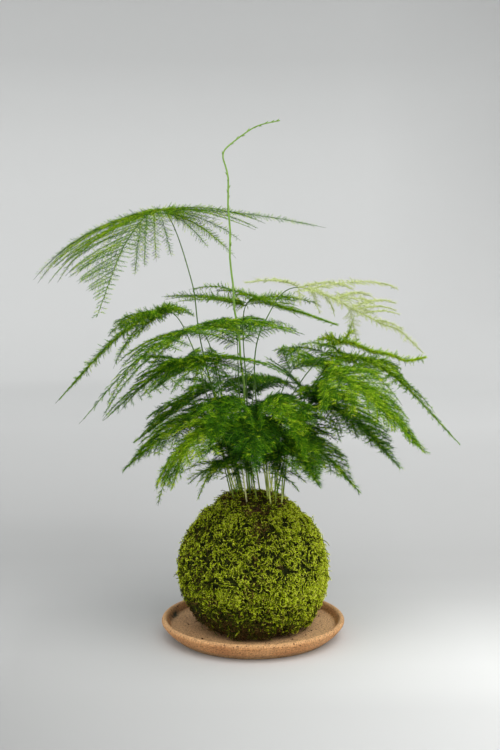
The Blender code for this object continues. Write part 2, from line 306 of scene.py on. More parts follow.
saucer_low, saucer_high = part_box("saucer")
CLAY = clay_material()
saucer_mesh = turned_mesh("clay_saucer", saucer_profile(saucer_low, saucer_high), 192)
new_piece("clay_saucer", saucer_mesh, CLAY, "saucer")


# ---------------------------------------------------------------- shape of the ball
# Everything below grows on one slumped ball: widest a little under its middle, open on top
# where the fern comes out, and flat where it rests on the saucer.

ball_low, ball_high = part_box("moss_cover")
BALL_RADIUS = (ball_high.x - ball_low.x) / 2
BALL_TOP = 117.0 * MM
BALL_WIDEST = 54.0 * MM
BALL_FOOT = ball_low.z
FOOT_SIDE = 42.0 * MM
FOOT_FRONT = 48.0 * MM
OPENING_RADIUS = 28.0 * MM


def foot_bulge(drop):
    """How far the ball bulges beyond its foot, from 1 at the widest ring to 0 at the foot."""
    return max(1 - drop ** 1.6, 0.0) ** (1 / 1.6)


def deepened(height):
    """How much deeper than wide the ball is at a height: its foot isn't quite round."""
    drop = min(max((BALL_WIDEST - height) / (BALL_WIDEST - BALL_FOOT), 0.0), 1.0)
    bulge = foot_bulge(drop)
    return ((FOOT_FRONT + (BALL_RADIUS - FOOT_FRONT) * bulge)
            / (FOOT_SIDE + (BALL_RADIUS - FOOT_SIDE) * bulge))


def ball_point(turn, rise):
    """A point of the ball's outside and its outward normal.

    turn is the angle round Z. rise runs from -1 at the edge of the foot, through 0 at the
    widest ring, to 1 at the top.
    """
    def ring(step):
        if step >= 0:
            angle = step * math.pi / 2
            return (BALL_RADIUS * np.cos(angle),
                    BALL_WIDEST + (BALL_TOP - BALL_WIDEST) * np.sin(angle))
        drop = -step
        return (FOOT_SIDE + (BALL_RADIUS - FOOT_SIDE) * foot_bulge(drop),
                BALL_WIDEST - (BALL_WIDEST - BALL_FOOT) * drop)
    radius, height = ring(rise)
    above = ring(min(rise + 0.01, 1.0))
    below = ring(max(rise - 0.01, -1.0))
    along = np.array([above[0] - below[0], above[1] - below[1]])
    along /= np.linalg.norm(along)
    out = np.array([math.cos(turn), math.sin(turn), 0.0])
    normal = out * along[1] + np.array([0.0, 0.0, -along[0]])
    point = np.array([out[0] * radius, out[1] * radius * deepened(height), height])
    return point, normal


# ---------------------------------------------------------------- soil
# Dark peat and clay, pressed into a ball. It shows only in the opening on top, where it is
# crumbly, with grit and bits of bark between the stems.

def soil_height(radius):
    """Height of the soil's domed top at a distance from its middle."""
    return BALL_TOP - 1.0 * MM - 6.0 * MM * (radius / OPENING_RADIUS) ** 2


def soil_material():
    """Peat: nearly black brown, with rust and pale flecks, and a crumbly bump."""
    material, tree, shader = new_material("peat_soil", 0.95, 0.2)
    place = tree.nodes.new("ShaderNodeTexCoord").outputs["Object"]
    color = add_ramp(tree, add_noise(tree, place, 420.0, 6.0, 0.7),
                     [(0.32, (0.012, 0.007, 0.004)), (0.5, (0.055, 0.028, 0.014)),
                      (0.62, (0.13, 0.065, 0.03)), (0.78, (0.28, 0.17, 0.08))])
    tree.links.new(color, shader.inputs["Base Color"])
    add_grain(tree, shader, place, 900.0, 5.0, 0.6, 1.0 * MM)
    return material


def soil_mound():
    """The soil ball, with its rough top."""
    profile = [(0.0, soil_height(0.0))]
    top_rings = 40
    for k in range(1, top_rings + 1):
        radius = OPENING_RADIUS * k / top_rings
        profile.append((radius, soil_height(radius)))
    inset = 9.3 * MM
    for k in range(1, 40):
        point, _ = ball_point(0.0, 0.62 - 1.60 * k / 39)
        profile.append((point[0] - inset, min(point[2], profile[-1][1] - 0.1 * MM)))
    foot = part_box("soil_ball")[0].z
    profile = [(r, max(z, foot + 0.001 * MM)) for r, z in profile]
    profile.append((0.0, foot))
    mesh = turned_mesh("soil", profile, 160)
    for vert in mesh.vertices:
        if vert.co.z > BALL_TOP - 9 * MM:
            rough = noise.noise(vert.co / (5 * MM)) * 1.3 + noise.noise(vert.co / (1.8 * MM)) * 0.9
            vert.co.z += rough * MM - 0.6 * MM
    return mesh


SOIL = soil_material()
new_piece("soil", soil_mound(), SOIL, "soil_ball")


def joined_mesh(name, points, triangles, places=None):
    """A mesh from arrays of points and triangles, with its OFBake map if places are given."""
    mesh = bpy.data.meshes.new(name)
    mesh.vertices.add(len(points))
    mesh.vertices.foreach_set("co", np.asarray(points, np.float32).ravel())
    mesh.loops.add(len(triangles) * 3)
    mesh.loops.foreach_set("vertex_index", np.asarray(triangles, np.int32).ravel())
    mesh.polygons.add(len(triangles))
    mesh.polygons.foreach_set("loop_start", np.arange(0, len(triangles) * 3, 3, dtype=np.int32))
    if places is not None:
        layer = mesh.uv_layers.new(name="OFBake")
        corners = np.asarray(places, np.float32)[np.asarray(triangles).ravel()]
        layer.uv.foreach_set("vector", corners.ravel())
    mesh.update()
    mesh.validate()
    mesh.shade_smooth()
    return mesh


def soil_scatter(count):
    """Places and sizes of the crumbs, grit and bark flecks on the soil."""
    rng = np.random.default_rng(11)
    for _ in range(count):
        away = OPENING_RADIUS * 1.02 * math.sqrt(rng.random())
        turn = rng.random() * 2 * math.pi
        lift = soil_height(away) + rng.uniform(-0.5, 0.8) * MM
        yield (away * math.cos(turn), away * math.sin(turn), lift), MM * rng.lognormal(-0.45, 0.45)


# A few larger crumbs have dropped on the saucer in front: x and y in mm
DROPPED = [(42, -33), (31, -43), (47, -22), (55, 16), (-53, -6), (-40, -42), (-8, -61)]


def floor_scatter(count):
    """Places and sizes of the crumbs that have fallen on the saucer's floor."""
    rng = np.random.default_rng(12)
    for number in range(count):
        if number < len(DROPPED):
            x, y = DROPPED[number]
            size = 0.8 * MM
        else:
            away = rng.uniform(49.0, 65.0)
            turn = rng.random() * 2 * math.pi
            x, y = away * math.cos(turn), away * math.sin(turn)
            size = MM * rng.uniform(0.15, 0.42)
        yield (x * MM, y * MM, 9.1 * MM + 0.4 * size), size


def crumbs(name, scatter):
    """Small irregular stones of twenty faces, one at each place."""
    rng = np.random.default_rng(13)
    seedling = bmesh.new()
    bmesh.ops.create_icosphere(seedling, subdivisions=1, radius=1.0)
    shape = np.array([vert.co for vert in seedling.verts])
    faces = np.array([[vert.index for vert in face.verts] for face in seedling.faces])
    seedling.free()
    points, triangles = [], []
    for k, (place, size) in enumerate(scatter):
        own = shape * rng.uniform(0.6, 1.25, (len(shape), 1)) * rng.uniform(0.5, 1.2, 3) * size
        triangles.append(faces + len(shape) * k)
        points.append(own + np.array(place))
    return joined_mesh(name, np.concatenate(points), np.concatenate(triangles))


new_piece("soil_crumbs", crumbs("soil_crumbs", soil_scatter(900)), SOIL, "soil_ball")
new_piece("fallen_crumbs", crumbs("fallen_crumbs", floor_scatter(60)), SOIL, "soil_ball")


# ---------------------------------------------------------------- moss mat
# Sheet moss is wrapped round the soil with its dead, felted underside inward. The felt is
# painted nearly black, as painted shade, and it is what shows in the gaps between the
# living shoots.

def mat_material():
    """Felt of dead moss, painted brown black with olive patches as painted shade, and a matted bump.
    """
    material, tree, shader = new_material("moss_felt_and_shade", 0.95, 0.1)
    place = tree.nodes.new("ShaderNodeTexCoord").outputs["Object"]
    color = add_ramp(tree, add_noise(tree, place, 260.0, 6.0, 0.7),
                     [(0.3, (0.004, 0.006, 0.001)), (0.5, (0.016, 0.021, 0.004)),
                      (0.7, (0.046, 0.048, 0.010))])
    tree.links.new(color, shader.inputs["Base Color"])
    add_grain(tree, shader, place, 700.0, 6.0, 0.8, 1.0 * MM)
    return material


def lumps(points, size, seed):
    """Smooth noise from -1 to 1 at points, with lumps of about a given size."""
    shift = Vector((seed * 3.1, seed * 1.7, seed * 5.3))
    return np.array([noise.noise(Vector(point) / size + shift) for point in points])


def moss_mat():
    """The felt's outside, a little inside the ball's, lumpy where the moss bunches."""
    profile = [(0.0, BALL_FOOT + 1.0 * MM)]
    opening_rise = math.acos(OPENING_RADIUS / BALL_RADIUS) / (math.pi / 2)
    rows = 96
    depth = 3.4 * MM
    for k in range(rows + 1):
        point, normal = ball_point(0.0, -0.999 + (opening_rise + 0.999) * k / rows)
        inner = point - normal * depth
        profile.append((inner[0], max(inner[2], BALL_FOOT + 1.0 * MM)))
    rim_radius, rim_height = profile[-1]
    profile.append((rim_radius - 2.5 * MM, rim_height + 0.2 * MM))
    profile.append((rim_radius - 4.0 * MM, rim_height - 4.0 * MM))
    profile.append((0.0, rim_height - 6.0 * MM))
    mesh = turned_mesh("moss_mat", profile, 220)
    points = np.array([vert.co for vert in mesh.vertices])
    push = 1.3 * lumps(points, 9 * MM, 1) + 0.8 * lumps(points, 3.5 * MM, 2)
    for vert, move in zip(mesh.vertices, push):
        vert.co.y *= deepened(vert.co.z)
        if BALL_FOOT + 3 * MM < vert.co.z < rim_height - 1.0 * MM:
            outward = Vector((vert.co.x, vert.co.y, vert.co.z - BALL_WIDEST)).normalized()
            vert.co += outward * float(move) * MM
    return mesh


new_piece("moss_mat", moss_mat(), mat_material(), "moss_cover")


# ---------------------------------------------------------------- living moss
# Thousands of branching shoots, each a thin stalk clothed in tiny pointed leaves. They lie over
# one another like curls, brown where a patch has died. Their colour has painted light and shade
# in it: brighter on the right, darker low down, in hollows and deep in the mat.

def tubes(paths, radii, tones, sides):
    """Closed thin tubes along many paths at once, with their places in the OFBake map."""
    count, steps = paths.shape[:2]
    along = np.gradient(paths, axis=1)
    along /= np.linalg.norm(along, axis=2, keepdims=True)
    upright = np.abs(along[:, 0, 2:3]) > 0.8
    previous = np.where(upright, [[1.0, 0.0, 0.0]], [[0.0, 0.0, 1.0]])
    across = np.empty_like(along)
    for k in range(steps):
        flat = previous - along[:, k] * np.sum(previous * along[:, k], axis=1, keepdims=True)
        previous = flat / np.linalg.norm(flat, axis=1, keepdims=True)
        across[:, k] = previous
    third = np.cross(along, across)
    turn = 2 * np.pi * np.arange(sides) / sides
    ring = (across[:, :, None] * np.cos(turn)[:, None]
            + third[:, :, None] * np.sin(turn)[:, None])
    points = paths[:, :, None] + ring * radii[:, :, None, None]
    walls = []
    for step in range(steps - 1):
        for j in range(sides):
            a, b = step * sides + j, step * sides + (j + 1) % sides
            walls += [(a, b, b + sides), (a, b + sides, a + sides)]
    last = (steps - 1) * sides
    for j in range(1, sides - 1):
        walls += [(0, j + 1, j), (last, last + j, last + j + 1)]
    starts = np.arange(count) * steps * sides
    triangles = starts[:, None, None] + np.array(walls)
    places = np.empty((count, steps, sides, 2))
    spread = 0.004 * (2 * np.arange(sides) / (sides - 1) - 1)
    places[..., 0] = tones[:, None, None] + spread
    places[..., 1] = 0.1 * np.linspace(0, 1, steps)[:, None] + 0.003 * (np.arange(sides) % 2)
    return points.reshape(-1, 3), triangles.reshape(-1, 3), places.reshape(-1, 2)


def blades(feet, tips, radii, tones):
    """Slim closed blades, each from a three-cornered foot to a point."""
    count = len(feet)
    along = tips - feet
    along /= np.linalg.norm(along, axis=1, keepdims=True)
    upright = np.abs(along[:, 2:3]) > 0.8
    across = np.cross(along, np.where(upright, [[1.0, 0.0, 0.0]], [[0.0, 0.0, 1.0]]))
    across /= np.linalg.norm(across, axis=1, keepdims=True)
    third = np.cross(along, across)
    points = np.empty((count, 4, 3))
    places = np.empty((count, 4, 2))
    for j in range(3):
        angle = 2 * np.pi * j / 3
        side = across * np.cos(angle) + third * np.sin(angle)
        points[:, j] = feet + side * radii[:, None]
        places[:, j, 0] = tones + 0.004 * (j - 1)
        places[:, j, 1] = 0.25 + 0.02 * (j % 2)
    points[:, 3] = tips
    places[:, 3, 0] = tones
    places[:, 3, 1] = 1.0
    walls = np.array([(0, 1, 3), (1, 2, 3), (2, 0, 3), (0, 2, 1)])
    triangles = (np.arange(count) * 4)[:, None, None] + walls
    return points.reshape(-1, 3), triangles.reshape(-1, 3), places.reshape(-1, 2)


def gathered_mesh(name, parts, mapped=True):
    """One mesh from several (points, triangles, places) sets."""
    shift = 0
    points, triangles, places = [], [], []
    for part_points, part_triangles, part_places in parts:
        points.append(part_points)
        triangles.append(part_triangles + shift)
        places.append(part_places)
        shift += len(part_points)
    return joined_mesh(name, np.concatenate(points), np.concatenate(triangles),
                       np.concatenate(places) if mapped else None)


def tint_group():
    """Leaf tint from an OFBake place: tone across it, foot to tip up it, painted highlight at the
    tip.
    """
    tree, entry, out = node_group(
        "leaf_tint",
        [("Place", "NodeSocketVector", (0, 0, 0)), ("Stalk", "NodeSocketColor", (0, 0, 0, 1)),
         ("Tip Highlight", "NodeSocketFloat", 0.3), ("Mottle", "NodeSocketFloat", 0.3),
         ("Tone Color", "NodeSocketColor", (0, 0, 0, 1))],
        [("Color", "NodeSocketColor")])
    apart = tree.nodes.new("ShaderNodeSeparateXYZ")
    tree.links.new(entry.outputs["Place"], apart.inputs["Vector"])
    up = apart.outputs["Y"]
    tip = add_range(tree, up, 0.25, 1.0)
    # Painted highlight: a leaf is painted brighter towards its tip.
    lift = add_math(tree, "MULTIPLY", tip, entry.outputs["Tip Highlight"])
    brighter = add_mix(tree, 1.0, entry.outputs["Tone Color"], (1.55, 1.5, 1.3), "MULTIPLY")
    color = add_mix(tree, lift, entry.outputs["Tone Color"], brighter)
    grain = add_noise(tree, entry.outputs["Place"], 240.0, 2.0)
    shade = add_ramp(tree, grain, [(0.3, (0.45, 0.5, 0.4)), (0.5, (1.0, 1.0, 1.0)),
                                   (0.7, (1.35, 1.25, 1.0))])
    color = add_mix(tree, entry.outputs["Mottle"], color, add_mix(
        tree, 1.0, color, shade, "MULTIPLY"))
    on_stalk = add_range(tree, up, 0.18, 0.14)
    color = add_mix(tree, on_stalk, color, entry.outputs["Stalk"])
    tree.links.new(color, out.inputs["Color"])
    return tree


LEAF_TINT = tint_group()


def leaf_material(name, tones, stalk, tip_highlight, mottle, roughness, specular):
    """A leaf whose tone runs along a ramp, from the tone side of its OFBake place."""
    material, tree, shader = new_material(name, roughness, specular)
    place = tree.nodes.new("ShaderNodeUVMap")
    place.uv_map = "OFBake"
    apart = tree.nodes.new("ShaderNodeSeparateXYZ")
    tree.links.new(place.outputs["UV"], apart.inputs["Vector"])
    tint = tree.nodes.new("ShaderNodeGroup")
    tint.node_tree = LEAF_TINT
    tint.inputs["Tip Highlight"].default_value = tip_highlight
    tint.inputs["Mottle"].default_value = mottle
    tint.inputs["Stalk"].default_value = (*stalk, 1.0)
    tree.links.new(place.outputs["UV"], tint.inputs["Place"])
    tree.links.new(add_ramp(tree, apart.outputs["X"], tones), tint.inputs["Tone Color"])
    tree.links.new(tint.outputs["Color"], shader.inputs["Base Color"])
    return material


MOSS_TONES = [(0.0, (0.050, 0.022, 0.008)), (0.14, (0.26, 0.140, 0.045)),
              (0.20, (0.008, 0.011, 0.001)), (0.42, (0.110, 0.160, 0.004)),
              (0.60, (0.39, 0.53, 0.008)), (0.78, (0.84, 1.0, 0.022)),
              (1.0, (0.96, 1.0, 0.17))]
MOSS = leaf_material("moss_shoot", MOSS_TONES, (0.06, 0.06, 0.008), 0.8, 0.5, 0.85, 0.12)
MOSS_SHOOTS = 17000
RAGGED_SHOOTS = 2000
MOSS_PIECES = 7
# Dead patches: turn round the ball in degrees, height in mm, and half width in mm
DEAD_PATCHES = [(-82, 96, 8), (-90, 52, 6), (-88, 74, 4), (-124, 42, 4), (-70, 72, 3),
                (30, 70, 8), (95, 88, 8), (160, 50, 8), (-30, 30, 5), (-150, 92, 4),
                (-84, 109, 9)]


def moss_stand(rng):
    """Where each shoot stands, which way is out there, and how it leans."""
    opening_rise = math.acos(OPENING_RADIUS / BALL_RADIUS) / (math.pi / 2)
    stand, normals = [], []
    while len(stand) < MOSS_SHOOTS:
        turn = rng.uniform(0, 2 * math.pi)
        rise = rng.uniform(-0.93, opening_rise + 0.02)
        point, normal = ball_point(turn, rise)
        if rng.random() * BALL_RADIUS < math.hypot(point[0], point[1]):
            stand.append(point)
            normals.append(normal)
    for _ in range(RAGGED_SHOOTS):
        radius = OPENING_RADIUS * (1.32 - 0.94 * rng.random() ** 1.2)
        turn = rng.uniform(0, 2 * math.pi)
        x, y = radius * math.cos(turn), radius * math.sin(turn)
        heap = math.exp(-((x + 17 * MM) ** 2 + (y + 4 * MM) ** 2) / (12 * MM) ** 2)
        shoulder = (BALL_TOP - BALL_WIDEST) * math.sqrt(1 - (radius / BALL_RADIUS) ** 2)
        ground = soil_height(radius) if radius < OPENING_RADIUS else BALL_WIDEST + shoulder
        fade = min(max((36 * MM - radius) / (12 * MM), 0.15), 1.0)
        height = ground + (rng.uniform(1.8, 3.6) + 2.4 * heap) * fade * MM
        stand.append(np.array([x, y, height]))
        normals.append(np.array([0.25 * math.cos(turn), 0.25 * math.sin(turn), 0.97]))
    return np.array(stand), np.array(normals)


def moss_tones(stand, rng):
    """How green each shoot is, from 0 for dead to 1 for fresh, with painted light and shade in it.
    """
    # Lumps of greener and browner growth, and painted light: brighter to the right, where the lamp
    # falls.
    tone = (0.99 + 0.20 * lumps(stand, 13 * MM, 5) + 0.26 * lumps(stand, 4 * MM, 6)
            + 4.2 * stand[:, 0] + rng.normal(0, 0.28, len(stand)))
    tone += 0.16 * lumps(stand, 2.2 * MM, 7)
    # Painted light: brighter still on the right.
    tone += 0.22 * np.clip((stand[:, 0] - 14 * MM) / (26 * MM), 0, 1)
    # Painted shade: a darker band down the front middle, and darker low down on the ball.
    tone -= 0.17 * np.exp(-((stand[:, 0] - 5 * MM) / (13 * MM)) ** 2) * (stand[:, 1] < 0)
    low = np.clip((42 * MM - stand[:, 2]) / (34 * MM), 0, 1)
    tone -= 0.92 * low ** 0.8
    inside = np.hypot(stand[:, 0], stand[:, 1]) < OPENING_RADIUS - 2 * MM
    dry = (stand[:, 2] > BALL_TOP - 9 * MM) & inside & (rng.random(len(stand)) < 0.42)
    tone = np.where(dry, rng.uniform(0.04, 0.2, len(stand)), tone - 0.06 * inside)
    for turn, height, half in DEAD_PATCHES:
        angle = math.radians(turn)
        reach = math.sqrt(max(BALL_RADIUS ** 2 - (height * MM - BALL_WIDEST) ** 2, 0))
        middle = np.array([reach * math.cos(angle), reach * math.sin(angle), height * MM])
        away = np.linalg.norm(stand - middle, axis=1) / (half * MM)
        away += 0.45 * lumps(stand, 3 * MM, 8)
        dead = (away < 1) & (rng.random(len(stand)) < 0.36)
        tone = np.where(dead, rng.uniform(0.04, 0.2, len(stand)), tone - 0.12 * (away < 1.4))
    return np.clip(tone, 0.01, 0.99)


def grow_moss():
    """All shoots as parts of a few meshes, so that no single mesh is too heavy."""
    rng = np.random.default_rng(5)
    stand, normals = moss_stand(rng)
    tones = moss_tones(stand, rng)
    flow = np.stack([lumps(stand, 11 * MM, seed) for seed in (21, 22, 23)], axis=1)
    flow += rng.normal(0, 0.28, flow.shape)
    flow[:, 2] -= 0.12
    flow -= normals * np.sum(flow * normals, axis=1, keepdims=True)
    flow /= np.linalg.norm(flow, axis=1, keepdims=True)
    bend = np.cross(normals, flow) * rng.normal(0, 0.5, (len(stand), 1))
    length = rng.uniform(2.8, 5.6, len(stand)) * MM
    sink = (3.3 - 2.2 * lumps(stand, 4.5 * MM, 9)) * MM
    hollow_turn = np.arctan2(stand[:, 1], stand[:, 0]) - math.radians(-155)
    hollow = np.exp(-(hollow_turn / 0.5) ** 2 - ((stand[:, 2] - 22 * MM) / (14 * MM)) ** 2)
    sink += 4.5 * MM * hollow
    # Painted shade: shoots that sink deeper into the mat are painted darker.
    deeper = np.where(tones > 0.21, 0.07 * (sink / MM - 3.4), 0.0)
    tones = np.where(tones > 0.21, np.clip(tones - deeper, 0.21, 0.99), tones)
    lift = rng.uniform(0.6, 1.5, len(stand))
    sprig = rng.random(len(stand)) < 0.035
    lift = np.where(sprig, rng.uniform(1.6, 2.4, len(stand)), lift)
    steps = 5
    share = np.linspace(0, 1, steps)[None, :, None]
    reach = length[:, None, None]
    paths = ((stand - normals * sink[:, None])[:, None]
             + normals[:, None] * reach * lift[:, None, None] * (share - 0.45 * share ** 2)
             + flow[:, None] * reach * (0.25 * share + 0.6 * share ** 2)
             + bend[:, None] * reach * share ** 2)
    paths[..., 2] = np.maximum(paths[..., 2], BALL_FOOT + 0.4 * MM)
    radii = (np.linspace(0.36, 0.15, steps) * MM)[None, :] * rng.uniform(0.8, 1.2, (len(stand), 1))
    leaves = 8
    for piece in range(MOSS_PIECES):
        own = slice(piece, None, MOSS_PIECES)
        parts = [tubes(paths[own], radii[own], tones[own], 3)]
        along = np.gradient(paths[own], axis=1)
        along /= np.linalg.norm(along, axis=2, keepdims=True)
        for leaf in range(leaves):
            at = 0.12 + 0.85 * leaf / (leaves - 1)
            step = min(int(at * (steps - 1)), steps - 2)
            part = at * (steps - 1) - step
            foot = paths[own][:, step] * (1 - part) + paths[own][:, step + 1] * part
            ahead = along[:, step]
            side = rng.normal(0, 1, foot.shape)
            side -= ahead * np.sum(side * ahead, axis=1, keepdims=True)
            side /= np.linalg.norm(side, axis=1, keepdims=True)
            size = rng.uniform(0.9, 1.7, len(foot)) * MM * (1.15 - 0.4 * at)
            tip = foot + (ahead * 0.8 + side * 0.7) * size[:, None]
            tip[:, 2] = np.maximum(tip[:, 2], BALL_FOOT + 0.1 * MM)
            # Painted shade: a shoot's lower leaves, deep in the moss, are painted darker than its
            # tip.
            green = np.clip(tones[own] - 0.84 * (1 - at), 0.21, 0.99)
            tone = np.where(tones[own] < 0.21, tones[own], green)
            tone = np.clip(tone + rng.normal(0, 0.03, len(foot)), 0.01, 0.99)
            parts.append(blades(foot, tip, np.full(len(foot), 0.34 * MM), tone))
        mesh = gathered_mesh(f"moss_shoots_{piece + 1}", parts)
        new_piece(f"moss_shoots_{piece + 1}", mesh, MOSS, "moss_cover")


grow_moss()


# ---------------------------------------------------------------- fern stems
# Wiry stems, green at the top and paler and browner at the foot, stand in holes in the soil.
# Their feet are painted bright as painted light, lit below the fronds. Small dry bracts sit
# at their nodes. Each arches over at its knee and becomes the midrib of a frond.

# Each frond: where its stem stands in the soil, the points that the stem rises through, the
# knee where the frond spreads, the middle and the tip of its midrib, and its two side tips.
# The points were placed, then turned into millimetres, and their depths were shifted to keep
# the fronds apart. Scratch programs then turned them into millimetres and shifted their depths
# to keep the fronds apart. This is a worked-out table, with a few points set one by one.
FRONDS = {
    "high_left": dict(
        foot=(-10, 6), rise=[(-41, 6, 234), (-50, 12, 290)], knee=(-72, 8, 346),
        bend=(-98, -21, 322), tip=(-119, -48, 264), left=(-183, 39, 290), right=(61, 27, 332)),
    "level_top": dict(
        foot=(-3, 10), rise=[(-5, 14, 192)], knee=(-6, 4, 270),
        bend=(27, -8, 268), tip=(63, -59, 258), left=(-76, 32, 276), right=(54, 31, 264)),
    "pale_young": dict(
        foot=(12, -12), rise=[(1, -20, 220), (12, -24, 264)], knee=(35, -10, 285),
        bend=(83, -25, 266), tip=(134, -16, 234), left=(-7, -42, 289), right=(114, 66, 283)),
    "left_upper": dict(
        foot=(-14, 11), rise=[(-37, 16, 192), (-48, 20, 231)], knee=(-70, 24, 265),
        bend=(-108, 10, 246), tip=(-160, 0, 191), left=(-132, 70, 242), right=(-42, -40, 265)),
    "left_mid": dict(
        foot=(-8, 0), rise=[(-25, 0, 194)], knee=(-43, 3, 250),
        bend=(-87, -42, 232), tip=(-134, -47, 181), left=(-119, 20, 209), right=(43, -70, 250)),
    "left_lower": dict(
        foot=(-7, -8), rise=[(-22, -9, 179)], knee=(-32, -38, 230),
        bend=(-72, -38, 220), tip=(-116, -44, 183), left=(-87, -43, 211), right=(29, -65, 219)),
    "low_left_back": dict(
        foot=(-12, 16), rise=[(-26, 22, 166)], knee=(-34, 32, 198),
        bend=(-67, 50, 177), tip=(-102, 60, 150), left=(-47, 100, 186), right=(-84, 10, 176)),
    "low_left": dict(
        foot=(-16, 4), rise=[(-25, 0, 153)], knee=(-37, 0, 186),
        bend=(-71, -11, 167), tip=(-104, -5, 138), left=(-86, 25, 157), right=(-53, -36, 155)),
    "low_left_front": dict(
        foot=(-15, -12), rise=[(-23, -23, 149)], knee=(-35, -39, 179),
        bend=(-52, -58, 163), tip=(-61, -69, 136), left=(-74, -46, 117), right=(-21, -96, 165)),
    "small_left": dict(
        foot=(-17, -5), rise=[], knee=(-25, -20, 146),
        bend=(-35, -35, 139), tip=(-43, -45, 122), left=(-43, -10, 130), right=(-24, -55, 139)),
    "front_left": dict(
        foot=(-5, -18), rise=[(-12, -19, 164)], knee=(-16, -30, 199),
        bend=(-24, -66, 194), tip=(-33, -102, 169), left=(-52, -50, 185), right=(1, -90, 183)),
    "front_center": dict(
        foot=(3, -16), rise=[(-3, -31, 158)], knee=(-2, -47, 190),
        bend=(0, -71, 184), tip=(2, -122, 159), left=(-30, -93, 172), right=(29, -68, 168)),
    "front_right": dict(
        foot=(14, -18), rise=[(9, -20, 164)], knee=(13, -31, 199),
        bend=(26, -60, 194), tip=(38, -95, 162), left=(6, -95, 184), right=(54, -60, 184)),
    "right_high": dict(
        foot=(17, 8), rise=[(30, 10, 168)], knee=(66, 1, 225),
        bend=(111, 4, 215), tip=(163, -23, 162), left=(126, 55, 200), right=(11, -41, 235)),
    "right_bright": dict(
        foot=(18, -4), rise=[(34, -14, 179)], knee=(57, -28, 219),
        bend=(87, -60, 207), tip=(126, -85, 166), left=(94, -20, 219), right=(47, -100, 192)),
    "right_ridge": dict(
        foot=(14, 13), rise=[(26, 20, 183)], knee=(68, 30, 236),
        bend=(101, 25, 231), tip=(140, 15, 227), left=(90, 90, 254), right=(43, -12, 239)),
    "right_mid": dict(
        foot=(24, -1), rise=[(30, -7, 162)], knee=(47, -9, 193),
        bend=(79, -35, 182), tip=(108, -84, 154), left=(98, -8, 175), right=(62, -62, 168)),
    "right_low": dict(
        foot=(23, -10), rise=[(25, -12, 147)], knee=(32, -20, 166),
        bend=(56, -42, 156), tip=(81, -55, 130), left=(70, -8, 154), right=(39, -64, 145)),
    "right_low_front": dict(
        foot=(18, -15), rise=[(18, -24, 145)], knee=(24, -40, 164),
        bend=(37, -59, 157), tip=(48, -101, 143), left=(48, -85, 163), right=(25, -88, 153)),
    "right_back": dict(
        foot=(20, 14), rise=[(23, 30, 165)], knee=(40, 46, 190),
        bend=(67, 75, 189), tip=(102, 105, 173), left=(47, 110, 189), right=(87, 50, 183)),
    "back_high": dict(
        foot=(-4, 17), rise=[(-11, 28, 190)], knee=(-13, 40, 235),
        bend=(-15, 75, 250), tip=(-19, 120, 252), left=(-55, 80, 241), right=(41, 85, 241)),
    "back_center": dict(
        foot=(6, 19), rise=[(-1, 30, 165)], knee=(1, 46, 201),
        bend=(3, 85, 201), tip=(5, 125, 183), left=(-34, 90, 187), right=(42, 90, 187)),
    "back_left": dict(
        foot=(-9, 21), rise=[(-21, 40, 155)], knee=(-41, 62, 210),
        bend=(-65, 95, 207), tip=(-95, 130, 185), left=(-35, 125, 224), right=(-98, 75, 220)),
    "back_right": dict(
        foot=(12, 21), rise=[(13, 34, 156)], knee=(32, 52, 211),
        bend=(54, 80, 215), tip=(83, 110, 200), left=(25, 120, 225), right=(83, 52, 211)),
    "back_low": dict(
        foot=(0, 24), rise=[(-2, 40, 129)], knee=(-4, 62, 160),
        bend=(-2, 95, 155), tip=(-6, 125, 121), left=(-43, 95, 146), right=(38, 95, 141)),
    "back_low_right": dict(
        foot=(17, 19), rise=[(14, 36, 134)], knee=(28, 55, 152),
        bend=(46, 80, 148), tip=(65, 100, 120), left=(34, 105, 144), right=(66, 55, 148)),
}


def smooth_route(points, count):
    """A smooth curve through the given points, read off at even steps along its length."""
    route = np.array(points, float)
    route = np.vstack([2 * route[0] - route[1], route, 2 * route[-1] - route[-2]])
    share = np.linspace(0, 1, 24, endpoint=False)[:, None]
    fine = []
    for before, start, end, after in zip(route, route[1:], route[2:], route[3:]):
        fine.append((2 * start + (end - before) * share
                     + (2 * before - 5 * start + 4 * end - after) * share ** 2
                     + (3 * start - before - 3 * end + after) * share ** 3) / 2)
    fine = np.vstack(fine + [route[-2:-1]])
    steps = np.linalg.norm(np.diff(fine, axis=0), axis=1)
    length = np.concatenate([[0.0], np.cumsum(steps)])
    wanted = np.linspace(0, length[-1], count)
    return np.stack([np.interp(wanted, length, fine[:, axis]) for axis in range(3)], axis=1)


def frond_axis(frond):
    """The whole curve of a frond, in metres: its stem up to the knee, and its midrib."""
    x, y = frond["foot"]
    ground = soil_height(math.hypot(x, y) * MM) / MM
    points = [(x, y, ground), *frond["rise"], frond["knee"], frond["bend"], frond["tip"]]
    curve = smooth_route(points, 240)
    knee = int(np.argmin(np.linalg.norm(curve - np.array(frond["knee"]), axis=1)))
    bottom = curve[0] - np.array([0.0, 0.0, 7.0])
    return np.vstack([bottom, curve[:knee + 1]]) * MM, curve[knee:] * MM


def even_steps(route, count):
    """A route read off again at even steps."""
    steps = np.linalg.norm(np.diff(route, axis=0), axis=1)
    length = np.concatenate([[0.0], np.cumsum(steps)])
    wanted = np.linspace(0, length[-1], count)
    return np.stack([np.interp(wanted, length, route[:, axis]) for axis in range(3)], axis=1)


